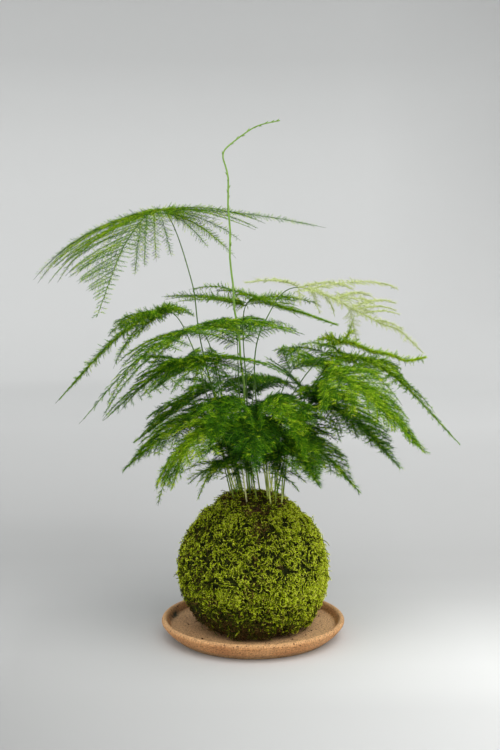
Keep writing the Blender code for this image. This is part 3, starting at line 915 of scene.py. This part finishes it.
def stem_material(name, low, high, top):
    """Green wiry skin, browner towards the soil, with fine lengthwise streaks."""
    material, tree, shader = new_material(name, 0.45, 0.4)
    place = tree.nodes.new("ShaderNodeTexCoord").outputs["Object"]
    apart = tree.nodes.new("ShaderNodeSeparateXYZ")
    tree.links.new(place, apart.inputs["Vector"])
    share = add_range(tree, apart.outputs["Z"], 0.112, top)
    stretched = tree.nodes.new("ShaderNodeVectorMath")
    stretched.operation = "MULTIPLY"
    stretched.inputs[1].default_value = (1.0, 1.0, 0.12)
    tree.links.new(place, stretched.inputs[0])
    streak = add_grain(tree, shader, stretched.outputs["Vector"], 900.0, 3.0, 0.3, 0.1 * MM)
    patch = add_noise(tree, place, 45.0, 2.0)
    share = add_math(tree, "ADD", share, add_range(tree, patch, 0.3, 0.7, -0.25, 0.25))
    color = add_ramp(tree, share, [(0.0, low), (0.55, high), (1.0, high)])
    shade = add_ramp(tree, streak, [(0.35, (0.7, 0.72, 0.6)), (0.65, (1.15, 1.12, 1.0))])
    color = add_mix(tree, 1.0, color, shade, "MULTIPLY")
    tree.links.new(color, shader.inputs["Base Color"])
    return material


def bracts(route, radii, spacing, size, rng):
    """Small dry scales that hug a stem at its nodes."""
    length = np.linalg.norm(np.diff(route, axis=0), axis=1).sum()
    count = max(int(length / spacing), 1)
    at = (np.arange(count) + rng.uniform(0.2, 0.8, count)) / count * (len(route) - 1)
    step = np.minimum(at.astype(int), len(route) - 2)
    part = (at - step)[:, None]
    foot = route[step] * (1 - part) + route[step + 1] * part
    ahead = route[step + 1] - route[step]
    ahead /= np.linalg.norm(ahead, axis=1, keepdims=True)
    side = rng.normal(0, 1, foot.shape)
    side -= ahead * np.sum(side * ahead, axis=1, keepdims=True)
    side /= np.linalg.norm(side, axis=1, keepdims=True)
    near = np.interp(at, np.arange(len(radii)), radii)[:, None]
    foot = foot + side * near * 0.5
    tip = foot + ahead * size * 0.85 + side * (near * 0.7 + size * 0.35)
    return blades(foot, tip, np.full(count, size * 0.26), np.full(count, 0.5))


# The pale colours at the stems' feet are painted bright, as painted light.
STEMS = [stem_material("green_stem", (0.84, 0.92, 0.26), (0.075, 0.17, 0.012), 0.22),
         stem_material("olive_stem", (0.34, 0.42, 0.05), (0.075, 0.17, 0.012), 0.20),
         stem_material("straw_stem", (1.0, 0.98, 0.52), (0.30, 0.44, 0.06), 0.23)]


def grow_stem(name, frond, rng):
    """One stem, from its hole in the soil to the knee."""
    rooted, _ = frond_axis(frond)
    route = even_steps(rooted, 56)
    radii = np.linspace(0.68, 0.38, len(route)) * MM
    stalk = tubes(route[None], radii[None], np.array([0.5]), 8)
    scales = bracts(route, radii, 13 * MM, 1.9 * MM, rng)
    mesh = gathered_mesh("fern_stem_" + name, [stalk, scales], mapped=False)
    skin = STEMS[int(rng.integers(len(STEMS)))]
    new_piece("fern_stem_" + name, mesh, skin, "stem_" + name)


for number, (name, frond) in enumerate(FRONDS.items()):
    grow_stem(name, frond, np.random.default_rng(100 + number))


# ---------------------------------------------------------------- fern sprays
# Each frond is a flat spray: side branches leave the midrib left and right, carry finer
# branchlets, and every one of them is set with tufts of hair-fine green needles.

# How each spray grows. What a spray doesn't name keeps its usual value.
#   fall, least: how fast its left and right branches shorten, and the mm that they keep
#   sides, arch, rolls: size, arch and turn of its two longest branches, left and right
#   gap, sweep: how far apart its branches are, and how far they turn towards the tip
#   bare: the end share of a branch that has no needles
#   tail, bald: the end share of the midrib that has no branches, and no needles
#   fine, extra_fine, spine: how long the twigs on branches, extra branches and midrib are
#   close, taper, shaggy: how close twigs are, how fast the midrib's shorten, how far all roll
#   hair, tuft: how long the needles on a twig are at most, and how many stand in a tuft
#   rope, thick: how many needles stand in a tuft on the midrib, and how long they are
#   tone, full: from 0, deep green, to 1, fresh, and how dense the needles are. The tone also
#     holds painted light and shade: fronds high in the light lighter, inner and back ones darker
#   inner, inner_low, droop: short sprays on the stem, how low they start, how far they hang
#   crook: bends of the midrib, by share of its length and rise in mm
#   extra: single branches, by where they leave the midrib, their end in mm, and a turn.
#     Most ends were placed by eye, and a scratch program turned them into millimetres
HABITS = {
    "high_left": dict(
        fall=(1.4, 9.0), least=(0, 20), sweep=0.12, gap=0.62, fine=0.62, bare=0.12,
        tone=0.60, full=0.75, extra_fine=1.0, close=0.60, hair=0.55, tuft=4,
        arch=(1.0, 0.35), rolls=(0.0, 0.6),
        extra=[(0.00, (-167, 35, 307)), (0.02, (-158, 30, 302)), (0.01, (-140, 26, 314)),
               (0.03, (-65, 2, 309)), (0.10, (-77, -4, 305)), (0.17, (-86, -10, 301)),
               (0.25, (-93, -16, 295)), (0.00, (-14, 8, 308), 0.9),
               (0.00, (-24, 12, 318), 0.9), (0.00, (-36, 4, 316), 1.0),
               (0.00, (-120, 20, 331)), (0.00, (4, 18, 332), 0.4),
               (0.00, (-10, 12, 322), 0.9), (0.00, (10, 22, 336), -0.3)]),
    "level_top": dict(
        fall=(3.0, 3.4), gap=1.1, tone=0.58, fine=0.48, full=1.0, bare=0.10, shaggy=0.8,
        extra_fine=0.46, close=0.34, hair=0.50, tuft=5, rope=30, thick=0.8,
        extra=[(0.00, (-68, 10, 271)), (0.00, (-72, 20, 274)), (0.00, (-55, 0, 275)),
               (0.10, (37, -20, 261)), (0.15, (23, 10, 265)), (0.05, (-40, -14, 274))]),
    "pale_young": dict(
        fall=(5.0, 3.0), tone=0.6, full=0.8, gap=3.0, fine=1.15, pale=True,
        crook=[(0.82, 8)],
        extra=[(0.42, (117, 20, 271)), (0.45, (115, 0, 266)), (0.5, (117, -10, 263)),
               (0.6, (119, -15, 251)), (0.02, (37, -20, 271)), (0.1, (52, -20, 265)),
               (0.2, (64, -20, 263)), (0.4, (82, -15, 243)), (0.05, (85, 40, 281)),
               (0.3, (98, 30, 276))]),
    "left_upper": dict(
        fall=(5.0, 4.0), least=(17, 17), sides=(0.3, 0.8), sweep=0.85, tone=0.52, bare=0.12,
        tail=0.16, bald=0.05, fine=0.6, shaggy=0.7, extra_fine=0.7, spine=1.0, taper=0.25, thick=0.9,
        close=0.36, hair=0.60, tuft=6, rope=30,
        extra=[(0.0, (-107, -20, 230)), (0.0, (-94, -6, 244)), (0.0, (-46, -20, 262)),
               (0.12, (-112, -6, 220))]),
    "left_mid": dict(
        fall=(3.0, 2.6), least=(28, 22), sides=(0.7, 1.0), sweep=0.8, tone=0.50, gap=1.5,
        fine=0.7, tail=0.12, bald=0.05, bare=0.08, full=0.9, close=0.7, hair=0.75,
        extra=[(0.3, (-112, -50, 196)), (0.0, (-2, -60, 248)), (0.0, (35, -60, 250)),
               (0.1, (-84, -30, 216)), (0.1, (-118, -30, 184))]),
    "left_lower": dict(
        fall=(1.6, 1.8), least=(28, 26), sides=(0.9, 1.0), sweep=0.7, tone=0.46, bare=0.08,
        tail=0.14, bald=0.05, gap=1.1, close=0.8, hair=0.8,
        extra=[(0.2, (-116, -48, 184)), (0.1, (-87, -50, 201)), (0.05, (-63, -55, 205)),
               (0.0, (28, -60, 221)), (0.2, (-103, -40, 190)), (0.0, (-12, -52, 204), 0.9),
               (0.0, (8, -56, 213), 0.9), (0.0, (-26, -60, 201), 0.6),
               (0.1, (-46, -56, 203), 0.6)]),
    "low_left_back": dict(tone=0.40, inner=10, fine=1.15),
    "low_left": dict(tone=0.48, inner=14, fine=1.2),
    "low_left_front": dict(tone=0.66, inner=14, fine=1.2),
    "small_left": dict(tone=0.74, inner=8, full=0.6, gap=1.6, fine=0.9),
    "front_left": dict(tone=0.42, inner=44, inner_low=0.24, droop=0.4,
                       fine=1.1),
    "front_center": dict(tone=0.30, inner=44, inner_low=0.46, fine=1.1),
    "front_right": dict(tone=0.50, inner=44, inner_low=0.24, droop=0.4, fine=1.1),
    "right_high": dict(
        fall=(3.0, 2.4), least=(24, 20), sides=(0.7, 1.0), sweep=0.72, tone=0.56, tail=0.08,
        shaggy=0.6, fine=0.7, extra_fine=0.55, spine=0.62, taper=0.6, close=0.42, hair=0.55,
        rope=26,
        extra=[(0.3, (146, -10, 184)), (0.2, (132, 6, 197)), (0.1, (118, -20, 192))]),
    "right_bright": dict(
        fall=(1.0, 1.0), tone=0.60, gap=0.75, inner=10, sweep=0.65, close=0.75, hair=0.85,
        full=1.0,
        extra=[(0.4, (124, -85, 167)), (0.3, (117, -70, 187)), (0.3, (102, -75, 189)),
               (0.1, (72, -70, 187))]),
    "right_ridge": dict(
        fall=(7.0, 6.0), least=(4, 4), sides=(0.2, 1.0), sweep=0.8, tone=0.78, gap=1.2,
        fine=0.6, shaggy=1.4, extra_fine=0.5, full=1.0, spine=0.55, taper=0.06, close=0.30,
        hair=0.55, rope=40, thick=1.1, crook=[(0.82, -7)],
        extra=[(0.15, (84, 27, 262)), (0.0, (50, 4, 235)),
               (0.0, (58, -8, 242))]),
    "right_mid": dict(
        tone=0.40, inner=26, fine=1.15,
        extra=[(0.0, (61, -10, 227)), (0.0, (10, -30, 228)), (0.0, (9, -10, 230))]),
    "right_low": dict(tone=0.54, inner=18, fine=1.2),
    "right_low_front": dict(tone=0.46, inner=22, fine=1.2),
    "right_back": dict(tone=0.35, inner=14, fine=1.1),
    "back_high": dict(tone=0.40),
    "back_center": dict(tone=0.32, inner=22, fine=1.1),
    "back_low": dict(tone=0.28, inner=22, fine=1.15),
    "back_low_right": dict(tone=0.28, inner=20, fine=1.15),
}
BRANCH_GAP = 3.2 * MM
TWIG_GAP = 2.1 * MM
TUFT_GAP = 1.25 * MM
FERN_TONES = [(0.0, (0.004, 0.028, 0.001)), (0.35, (0.030, 0.142, 0.002)),
              (0.6, (0.128, 0.350, 0.003)), (0.8, (0.34, 0.58, 0.008)),
              (1.0, (0.64, 0.78, 0.04))]
FERN = leaf_material("fern_needles", FERN_TONES, (0.060, 0.120, 0.010), 0.8, 0.45, 0.7, 0.12)
PALE_TONES = [(0.0, (0.42, 0.54, 0.17)), (0.5, (0.62, 0.72, 0.30)), (1.0, (0.80, 0.86, 0.48))]
PALE_FERN = leaf_material("young_fern_needles", PALE_TONES, (0.46, 0.54, 0.18), 0.4, 0.3,
                          0.7, 0.12)


def unit(vectors):
    return vectors / np.linalg.norm(vectors, axis=-1, keepdims=True)


def arched(start, along, length, lift, steps):
    """Curves that leave start along one way and arch a little, as (count, steps, 3)."""
    share = np.linspace(0, 1, steps)[None, :, None]
    reach = length[:, None, None]
    return start[:, None] + along[:, None] * reach * share + lift[:, None] * reach * (
        share * (1 - share))


def spray_branches(frond, midrib, habit, rng):
    """Side branches of a spray, left and right in turn, and the flat of the spray at each."""
    knee = midrib[0]
    length = np.linalg.norm(np.diff(midrib, axis=0), axis=1).sum()
    count = int(length / (BRANCH_GAP * habit.get("gap", 1.0)))
    share = np.arange(count) / count
    share[1:] += rng.uniform(-0.3, 0.3, count - 1) / count
    share *= 1 - habit.get("tail", 0.0)
    at = share * (len(midrib) - 1)
    step = np.minimum(at.astype(int), len(midrib) - 2)
    part = (at - step)[:, None]
    start = midrib[step] * (1 - part) + midrib[step + 1] * part
    ahead = unit(midrib[step + 1] - midrib[step])
    sides = np.array([frond["left"], frond["right"]]) * MM - knee
    which = np.arange(count) % 2
    reach = sides[which]
    full = np.linalg.norm(reach, axis=1)
    power = np.array(habit.get("fall", (1.15, 1.15)))[which]
    least = np.array(habit.get("least", (0, 0)))[which] * MM
    size = np.maximum(full * (1 - share) ** power, least * (1 - share) ** 0.9)
    size *= rng.uniform(0.84, 1.02, count)
    size[:2] = full[:2] * habit.get("sides", (1.0, 1.0))
    size = np.maximum(size, 5 * MM)
    turn = (habit.get("sweep", 0.5) * share)[:, None]
    way = unit(unit(reach) * (1 - turn) + ahead * turn)
    way[2:] = unit(way[2:] + rng.normal(0, 0.05, (count - 2, 3)))
    flat = np.cross(ahead, unit(reach))
    flat *= np.sign(flat[:, 2:3] + 1e-6)
    spread = np.linalg.norm(flat, axis=1, keepdims=True)
    level = np.cross(way, np.cross([0.0, 0.0, 1.0], way))
    flat = unit(np.where(spread < 0.6, level, flat))
    lift = flat * 0.30 + ahead * 0.22
    lift[:2] *= np.array(habit.get("arch", (1.0, 1.0)))[:, None]
    branches = arched(start, way, size, lift, 14)
    flat[:2] = rolled(flat[:2], way[:2], habit.get("rolls", (0.0, 0.0)))
    return branches, size, flat


def rolled(flats, ways, rolls):
    """Flats turned about the ways that their branches run."""
    turn = np.asarray(rolls, float)[:, None]
    return unit(flats * np.cos(turn) + np.cross(ways, flats) * np.sin(turn))


def extra_branches(midrib, habit):
    """The single branches of a spray that have a place of their own."""
    wanted = habit["extra"]
    at = np.array([entry[0] for entry in wanted]) * (len(midrib) - 1)
    start = midrib[at.astype(int)]
    reach = np.array([entry[1] for entry in wanted]) * MM - start
    size = np.linalg.norm(reach, axis=1)
    side = np.cross([0.0, 0.0, 1.0], reach)
    upright = np.linalg.norm(side, axis=1, keepdims=True) < 0.5 * size[:, None]
    flat = unit(np.where(upright, [[0.0, -1.0, 0.0]], np.cross(reach, side)))
    branches = arched(start, unit(reach), size, flat * 0.3, 14)
    rolls = [entry[2] if len(entry) > 2 else 0.0 for entry in wanted]
    return branches, size, rolled(flat, unit(reach), rolls)


def inner_branches(stem, habit, rng):
    """Short sprays low on a stem, inside the plant, where they fill the tuft."""
    count = habit["inner"]
    at = rng.uniform(habit.get("inner_low", 0.66), 0.99, count) * (len(stem) - 1)
    step = at.astype(int)
    start = stem[step]
    outward = math.atan2(start[:, 1].mean(), start[:, 0].mean())
    turn = outward + rng.uniform(-1.7, 1.7, count)
    rise = rng.uniform(-0.25, 0.35, count) - habit.get("droop", 0.0)
    level, steep = np.cos(rise), np.sin(rise)
    way = np.stack([np.cos(turn) * level, np.sin(turn) * level, steep], axis=1)
    size = rng.uniform(18, 46, count) * MM
    flat = np.stack([-np.cos(turn) * steep, -np.sin(turn) * steep, level], axis=1)
    flat = unit(flat + rng.normal(0, 0.25, flat.shape))
    return arched(start, way, size, flat * 0.55, 14), size, flat


def spray_twigs(branches, sizes, flats, fineness, tapers, habit, rng):
    """Short branchlets set along each branch like the barbs of a feather."""
    starts, ways, lengths, lifts, owners = [], [], [], [], []
    shaggy = habit.get("shaggy", 0.0)
    gap = TWIG_GAP * habit.get("close", 1.0)
    hair = habit.get("hair", 2.0)
    for branch, size, flat, fine, taper in zip(branches, sizes, flats, fineness, tapers):
        if size < 10 * MM:
            continue
        count = int(size / gap)
        longest = min(0.15 * size + 2.2 * MM, 8.5 * MM) * fine
        for k in range(1, count):
            share = (k + rng.uniform(-0.2, 0.2)) / count
            at = share * (len(branch) - 1)
            step = min(int(at), len(branch) - 2)
            ahead = unit(branch[step + 1] - branch[step])
            across = np.cross(flat, ahead) * (1 if k % 2 else -1)
            angle = math.radians(rng.uniform(46, 66))
            roll = rng.normal(0, 0.16 + shaggy)
            outward = across * math.cos(roll) + flat * math.sin(roll)
            way = ahead * math.cos(angle) + outward * math.sin(angle)
            reach = longest * (1 - share) ** taper * rng.uniform(0.75, 1.15)
            if reach < 1.4 * MM:
                continue
            starts.append(branch[step] + (branch[step + 1] - branch[step]) * (at - step))
            ways.append(unit(way))
            lengths.append(reach)
            lifts.append(ahead * 0.3)
            owners.append((flat, min(fine, hair)))
    twigs = arched(np.array(starts), np.array(ways), np.array(lengths), np.array(lifts), 5)
    return twigs, np.array([flat for flat, _ in owners]), [fine for _, fine in owners]


def needle_tufts(paths, flats, bare, full, tones, each, fineness, shaggy, rng):
    """Tufts of needles along many branches, most of them in the flat of the spray."""
    feet, tips, shades = [], [], []
    for path, flat, tone, fine in zip(paths, flats, tones, fineness):
        steps = np.linalg.norm(np.diff(path, axis=0), axis=1)
        length = np.concatenate([[0.0], np.cumsum(steps)])
        first, last = 0.05 * length[-1], (1 - bare) * length[-1]
        count = max(int((last - first) / TUFT_GAP), 1)
        where = np.linspace(first, last, count + 1)
        spots = np.stack([np.interp(where, length, path[:, axis]) for axis in range(3)], axis=1)
        step = np.minimum(np.searchsorted(length, where, "right") - 1, len(path) - 2)
        ahead = unit(path[step + 1] - path[step])
        spots = np.repeat(spots, each, axis=0)
        ahead = np.repeat(ahead, each, axis=0)
        near_end = np.repeat(np.linspace(0, 1, count + 1), each)
        keep = rng.random(len(spots)) < full * (1 - 0.30 * near_end ** 2)
        spots, ahead, near_end = spots[keep], ahead[keep], near_end[keep]
        across = unit(np.cross(flat, ahead))
        upward = np.cross(ahead, across)
        side = np.where(rng.random(len(spots)) < 0.5, 1.0, -1.0)
        angle = np.radians(rng.uniform(18, 64, len(spots))) * (1 - 0.5 * near_end)
        tilt = rng.normal(0, shaggy, len(spots))
        way = (ahead * np.cos(angle)[:, None]
               + (across * (side * np.cos(tilt))[:, None] + upward * np.sin(tilt)[:, None])
               * np.sin(angle)[:, None])
        size = rng.uniform(3.2, 6.0, len(spots)) * MM * (1 - 0.45 * near_end ** 2) * fine
        feet.append(spots)
        tips.append(spots + way * size[:, None])
        # Painted shade and highlight: needles deep inside the tuft are painted darker, and those
        # near the end of a branch lighter.
        inside = np.clip(1 - np.hypot(spots[:, 0], spots[:, 1]) / (70 * MM), 0, 1)
        inside *= np.clip((235 * MM - spots[:, 2]) / (40 * MM), 0, 1)
        inside *= np.clip((spots[:, 2] - 128 * MM) / (30 * MM), 0.15, 1)
        shade = tone - 0.05 + 0.10 * near_end - 0.56 * inside + rng.normal(0, 0.18, len(spots))
        shades.append(np.clip(shade, 0.01, 0.99))
    feet, tips, shades = np.concatenate(feet), np.concatenate(tips), np.concatenate(shades)
    return blades(feet, tips, rng.uniform(0.10, 0.16, len(feet)) * MM, shades)


def grow_spray(name, frond, rng):
    """One whole frond beyond its knee, and the short sprays on its stem."""
    habit = HABITS.get(name, {})
    tone = habit.get("tone", 0.4)
    full = habit.get("full", 0.9)
    fine = habit.get("fine", 1.0)
    shaggy = 0.5 + 0.5 * habit.get("shaggy", 0.0)
    stem, midrib = frond_axis(frond)
    midrib = even_steps(midrib, 40)
    for share, drop in habit.get("crook", []):
        bump = np.exp(-((np.linspace(0, 1, 40) - share) / 0.14) ** 2)
        midrib[:, 2] += drop * MM * bump * np.linspace(1, 0, 40) ** 0.3
    groups = [spray_branches(frond, midrib, habit, rng)]
    if "extra" in habit:
        groups.append(extra_branches(midrib, habit))
    outer = sum(len(group[1]) for group in groups)
    if "inner" in habit:
        groups.append(inner_branches(stem, habit, rng))
    branches, sizes, flats = (np.concatenate(rows) for rows in zip(*groups))
    # Painted shade: the short sprays inside the plant are painted darker.
    shade = np.where(np.arange(len(sizes)) < outer, 0.0, -0.10)
    spread = np.where(np.arange(len(sizes)) < outer, 0.13, 0.20)
    tones = np.clip(tone + shade + rng.normal(0, 1, len(sizes)) * spread, 0.02, 0.98)
    reach = np.linalg.norm(np.array([frond["left"], frond["right"]]) * MM - midrib[0], axis=1)
    long_share = np.clip(sizes / reach.max(), 0, 1)
    fineness = fine + (1 - fine) * long_share ** 2
    fineness[len(groups[0][1]):outer] = habit.get("extra_fine", 1.0)
    fineness[outer:] = 1.0
    mid_flat = flats[outer // 2][None]
    leafy = midrib[:max(int(len(midrib) * (1 - habit.get("tail", 0.0))), 4)]
    spine = even_steps(leafy, branches.shape[1])[None]
    spine_length = np.linalg.norm(np.diff(leafy, axis=0), axis=1).sum()
    twigs, twig_flats, twig_fineness = spray_twigs(
        np.concatenate([branches, spine]), np.append(sizes, spine_length),
        np.concatenate([flats, mid_flat]), np.append(fineness, habit.get("spine", 0.75 * fine)),
        [0.55] * len(sizes) + [habit.get("taper", 0.55)], habit, rng)
    twig_tones = np.clip(tone + rng.normal(0, 0.17, len(twigs)), 0.02, 0.98)
    thick = (0.15 + 0.17 * np.clip(sizes / (80 * MM), 0, 1)) * MM
    bare = habit.get("bare", 0.06)
    parts = [
        tubes(midrib[None], np.linspace(0.42, 0.16, 40)[None] * MM, np.array([tone]), 6),
        tubes(branches, thick[:, None] * np.linspace(1, 0.45, branches.shape[1]), tones, 3),
        tubes(twigs, np.tile(np.linspace(0.14, 0.09, 5) * MM, (len(twigs), 1)), twig_tones, 3),
        needle_tufts(twigs, twig_flats, 0.0, full, twig_tones, habit.get("tuft", 6),
                     twig_fineness, shaggy, rng),
        needle_tufts(branches, flats, bare, full, tones, 6, fineness, shaggy, rng),
        needle_tufts(midrib[None], mid_flat, habit.get("bald", 0.0), full, [tone],
                     habit.get("rope", 12), [habit.get("thick", fine)], 3.0, rng)]
    mesh = gathered_mesh("fern_spray_" + name, parts)
    material = PALE_FERN if habit.get("pale") else FERN
    new_piece("fern_spray_" + name, mesh, material, "frond_" + name)


for number, (name, frond) in enumerate(FRONDS.items()):
    grow_spray(name, frond, np.random.default_rng(200 + number))


# ---------------------------------------------------------------- young shoot
# The newest shoot has no needles yet. It is thick, soft and pale green, kinked a little at
# each node, where a small scale sits, and its growing end still nods over.

SHOOT_FOOT = (-3, -3)
SHOOT_ROUTE = [(-8, -10, 211), (-16, -14, 283), (-18, -16, 314), (-20, -16, 369),
               (-23, -18, 388), (-14, -16, 399), (2, -20, 409), (21, -26, 413)]
SHOOT = stem_material("young_shoot", (0.16, 0.24, 0.04), (0.22, 0.40, 0.06), 0.17)


def grow_shoot():
    """The shoot's kinked stalk and its scales, closer together at its end."""
    rng = np.random.default_rng(31)
    x, y = SHOOT_FOOT
    ground = soil_height(math.hypot(x, y) * MM) / MM
    route = smooth_route([(x, y, ground - 7), (x, y, ground), *SHOOT_ROUTE], 150) * MM
    kink = np.zeros(len(route))
    for node in range(0, len(route), 9):
        kink[node] = 0.55 if (node // 9) % 2 else -0.55
    at = np.arange(len(route))
    kink = np.interp(at, at[::9], kink[::9]) * MM
    kink[:6] = 0
    route[:, 0] += kink
    radii = np.interp(at, [0, 110, 149], [0.95, 0.75, 0.42]) * MM
    stalk = tubes(route[None], radii[None], np.array([0.5]), 10)
    low = bracts(route[8:110], radii[8:110], 21 * MM, 3.6 * MM, rng)
    high = bracts(route[104:], radii[104:], 5.0 * MM, 3.0 * MM, rng)
    return gathered_mesh("young_shoot", [stalk, low, high], mapped=False)


new_piece("young_shoot", grow_shoot(), SHOOT, "tall_shoot")


# ---------------------------------------------------------------- studio
# A floor that sweeps up into a round wall, in matt paint that has soft light and dark falls
# painted in, with one large soft lamp at the upper right and a weaker one at the left.

def sweep_profile():
    """Flat floor out to the wall, a wide round corner and an upright wall."""
    corner = 0.75
    far = 2.6
    profile = [(0.0, 0.0), (0.4, 0.0), (1.0, 0.0), (far - corner, 0.0)]
    for k in range(1, 13):
        angle = math.radians(-90 + 90 * k / 12)
        profile.append((far - corner + corner * math.cos(angle),
                        corner + corner * math.sin(angle)))
    profile.append((far, 2.2))
    return profile


# The paint's grey: from front to back on the floor, and from the floor up on the wall. The
# greys were worked out by scratch programs from measured ones, and weren't chosen by hand.
FLOOR_LEFT = [(0, 0.347), (0.05, 0.406), (0.09, 0.479), (0.12, 0.487), (0.155, 0.476),
              (0.19, 0.44), (0.225, 0.418), (0.27, 0.427), (0.32, 0.468), (0.38, 0.501),
              (0.45, 0.538), (0.54, 0.58), (0.65, 0.632), (0.8, 0.674), (1, 0.705)]
FLOOR_RIGHT = [(0, 0.659), (0.04, 0.69), (0.06, 0.76), (0.08, 0.777), (0.1, 0.734),
               (0.13, 0.64), (0.16, 0.548), (0.19, 0.498), (0.23, 0.486), (0.31, 0.515),
               (0.38, 0.542), (0.45, 0.576), (0.54, 0.617), (0.65, 0.687), (0.8, 0.722),
               (1, 0.762)]
WALL_LEFT = [(0, 0.73), (0.05, 0.734), (0.13, 0.742), (0.43, 0.738), (0.54, 0.719),
             (0.65, 0.675), (0.75, 0.61), (0.86, 0.585), (1, 0.543)]
WALL_RIGHT = [(0, 0.752), (0.13, 0.691), (0.275, 0.666), (0.43, 0.641), (0.54, 0.622),
              (0.65, 0.603), (0.75, 0.563), (0.86, 0.52), (1, 0.487)]


def grey_stops(stops):
    """Ramp stops of a faintly cool grey."""
    return [(position, (0.99 * grey, grey, grey)) for position, grey in stops]


def backdrop_material():
    """Matt paint with its light and dark falls, and one pale grey far out on the floor."""
    material, tree, shader = new_material("studio_paint", 0.9, 0.1)
    place = tree.nodes.new("ShaderNodeTexCoord").outputs["Object"]
    apart = tree.nodes.new("ShaderNodeSeparateXYZ")
    tree.links.new(place, apart.inputs["Vector"])
    away = add_range(tree, apart.outputs["Y"], -0.25, 1.95)
    across = add_range(tree, apart.outputs["X"], -0.18, 0.18)
    floor = add_mix(tree, across, add_ramp(tree, away, grey_stops(FLOOR_LEFT)),
                    add_ramp(tree, away, grey_stops(FLOOR_RIGHT)))
    beside = add_range(tree, add_math(tree, "ABSOLUTE", apart.outputs["X"], 0.0), 0.95, 1.6)
    before = add_range(tree, apart.outputs["Y"], -0.35, -0.95)
    edge = add_math(tree, "MAXIMUM", beside, before)
    floor = add_mix(tree, edge, floor, (0.735, 0.742, 0.742))
    height = add_range(tree, apart.outputs["Z"], 0.0, 1.2)
    aside = add_range(tree, apart.outputs["X"], 0.35, 0.72)
    wall = add_mix(tree, aside, add_ramp(tree, height, grey_stops(WALL_LEFT)),
                   add_ramp(tree, height, grey_stops(WALL_RIGHT)))
    up = add_range(tree, apart.outputs["Z"], 0.0, 0.01)
    tree.links.new(add_mix(tree, up, floor, wall), shader.inputs["Base Color"])
    return material


backdrop_mesh = turned_mesh("studio_floor", sweep_profile(), 96)
backdrop_mesh.materials.append(backdrop_material())
backdrop_mesh.flip_normals()
backdrop = bpy.data.objects.new("studio_floor", backdrop_mesh)
bpy.context.scene.collection.objects.link(backdrop)


def soft_lamp(name, place, target, size, power, color):
    """A square soft lamp that faces a target."""
    light = bpy.data.lights.new(name, "AREA")
    light.shape = "SQUARE"
    light.size = size
    light.energy = power
    light.color = color
    lamp = bpy.data.objects.new(name, light)
    lamp.location = place
    lamp.rotation_euler = (Vector(target) - Vector(place)).to_track_quat("-Z", "Y").to_euler()
    bpy.context.scene.collection.objects.link(lamp)


soft_lamp("key_lamp", (0.8, -0.8, 1.7), (0.0, 0.0, 0.2), 2.4, 38.0, (1.0, 0.985, 0.96))
soft_lamp("fill_lamp", (-1.3, -0.9, 1.0), (0.0, 0.0, 0.2), 1.4, 6.0, (0.96, 0.98, 1.0))

world = bpy.data.worlds.new("studio_light")
world.use_nodes = True
world.node_tree.nodes["Background"].inputs["Color"].default_value = (0.99, 1.0, 1.0, 1.0)
world.node_tree.nodes["Background"].inputs["Strength"].default_value = 0.84
bpy.context.scene.world = world
bpy.context.scene.view_settings.view_transform = "Standard"

lens = bpy.data.cameras.new("camera")
lens.lens = 55.0
lens.sensor_width = 36.0
camera = bpy.data.objects.new("camera", lens)
camera.location = (-0.0025, -0.920, 0.3076)
camera.rotation_euler = (math.radians(84.2), 0.0, 0.0)
bpy.context.scene.collection.objects.link(camera)
bpy.context.scene.camera = camera
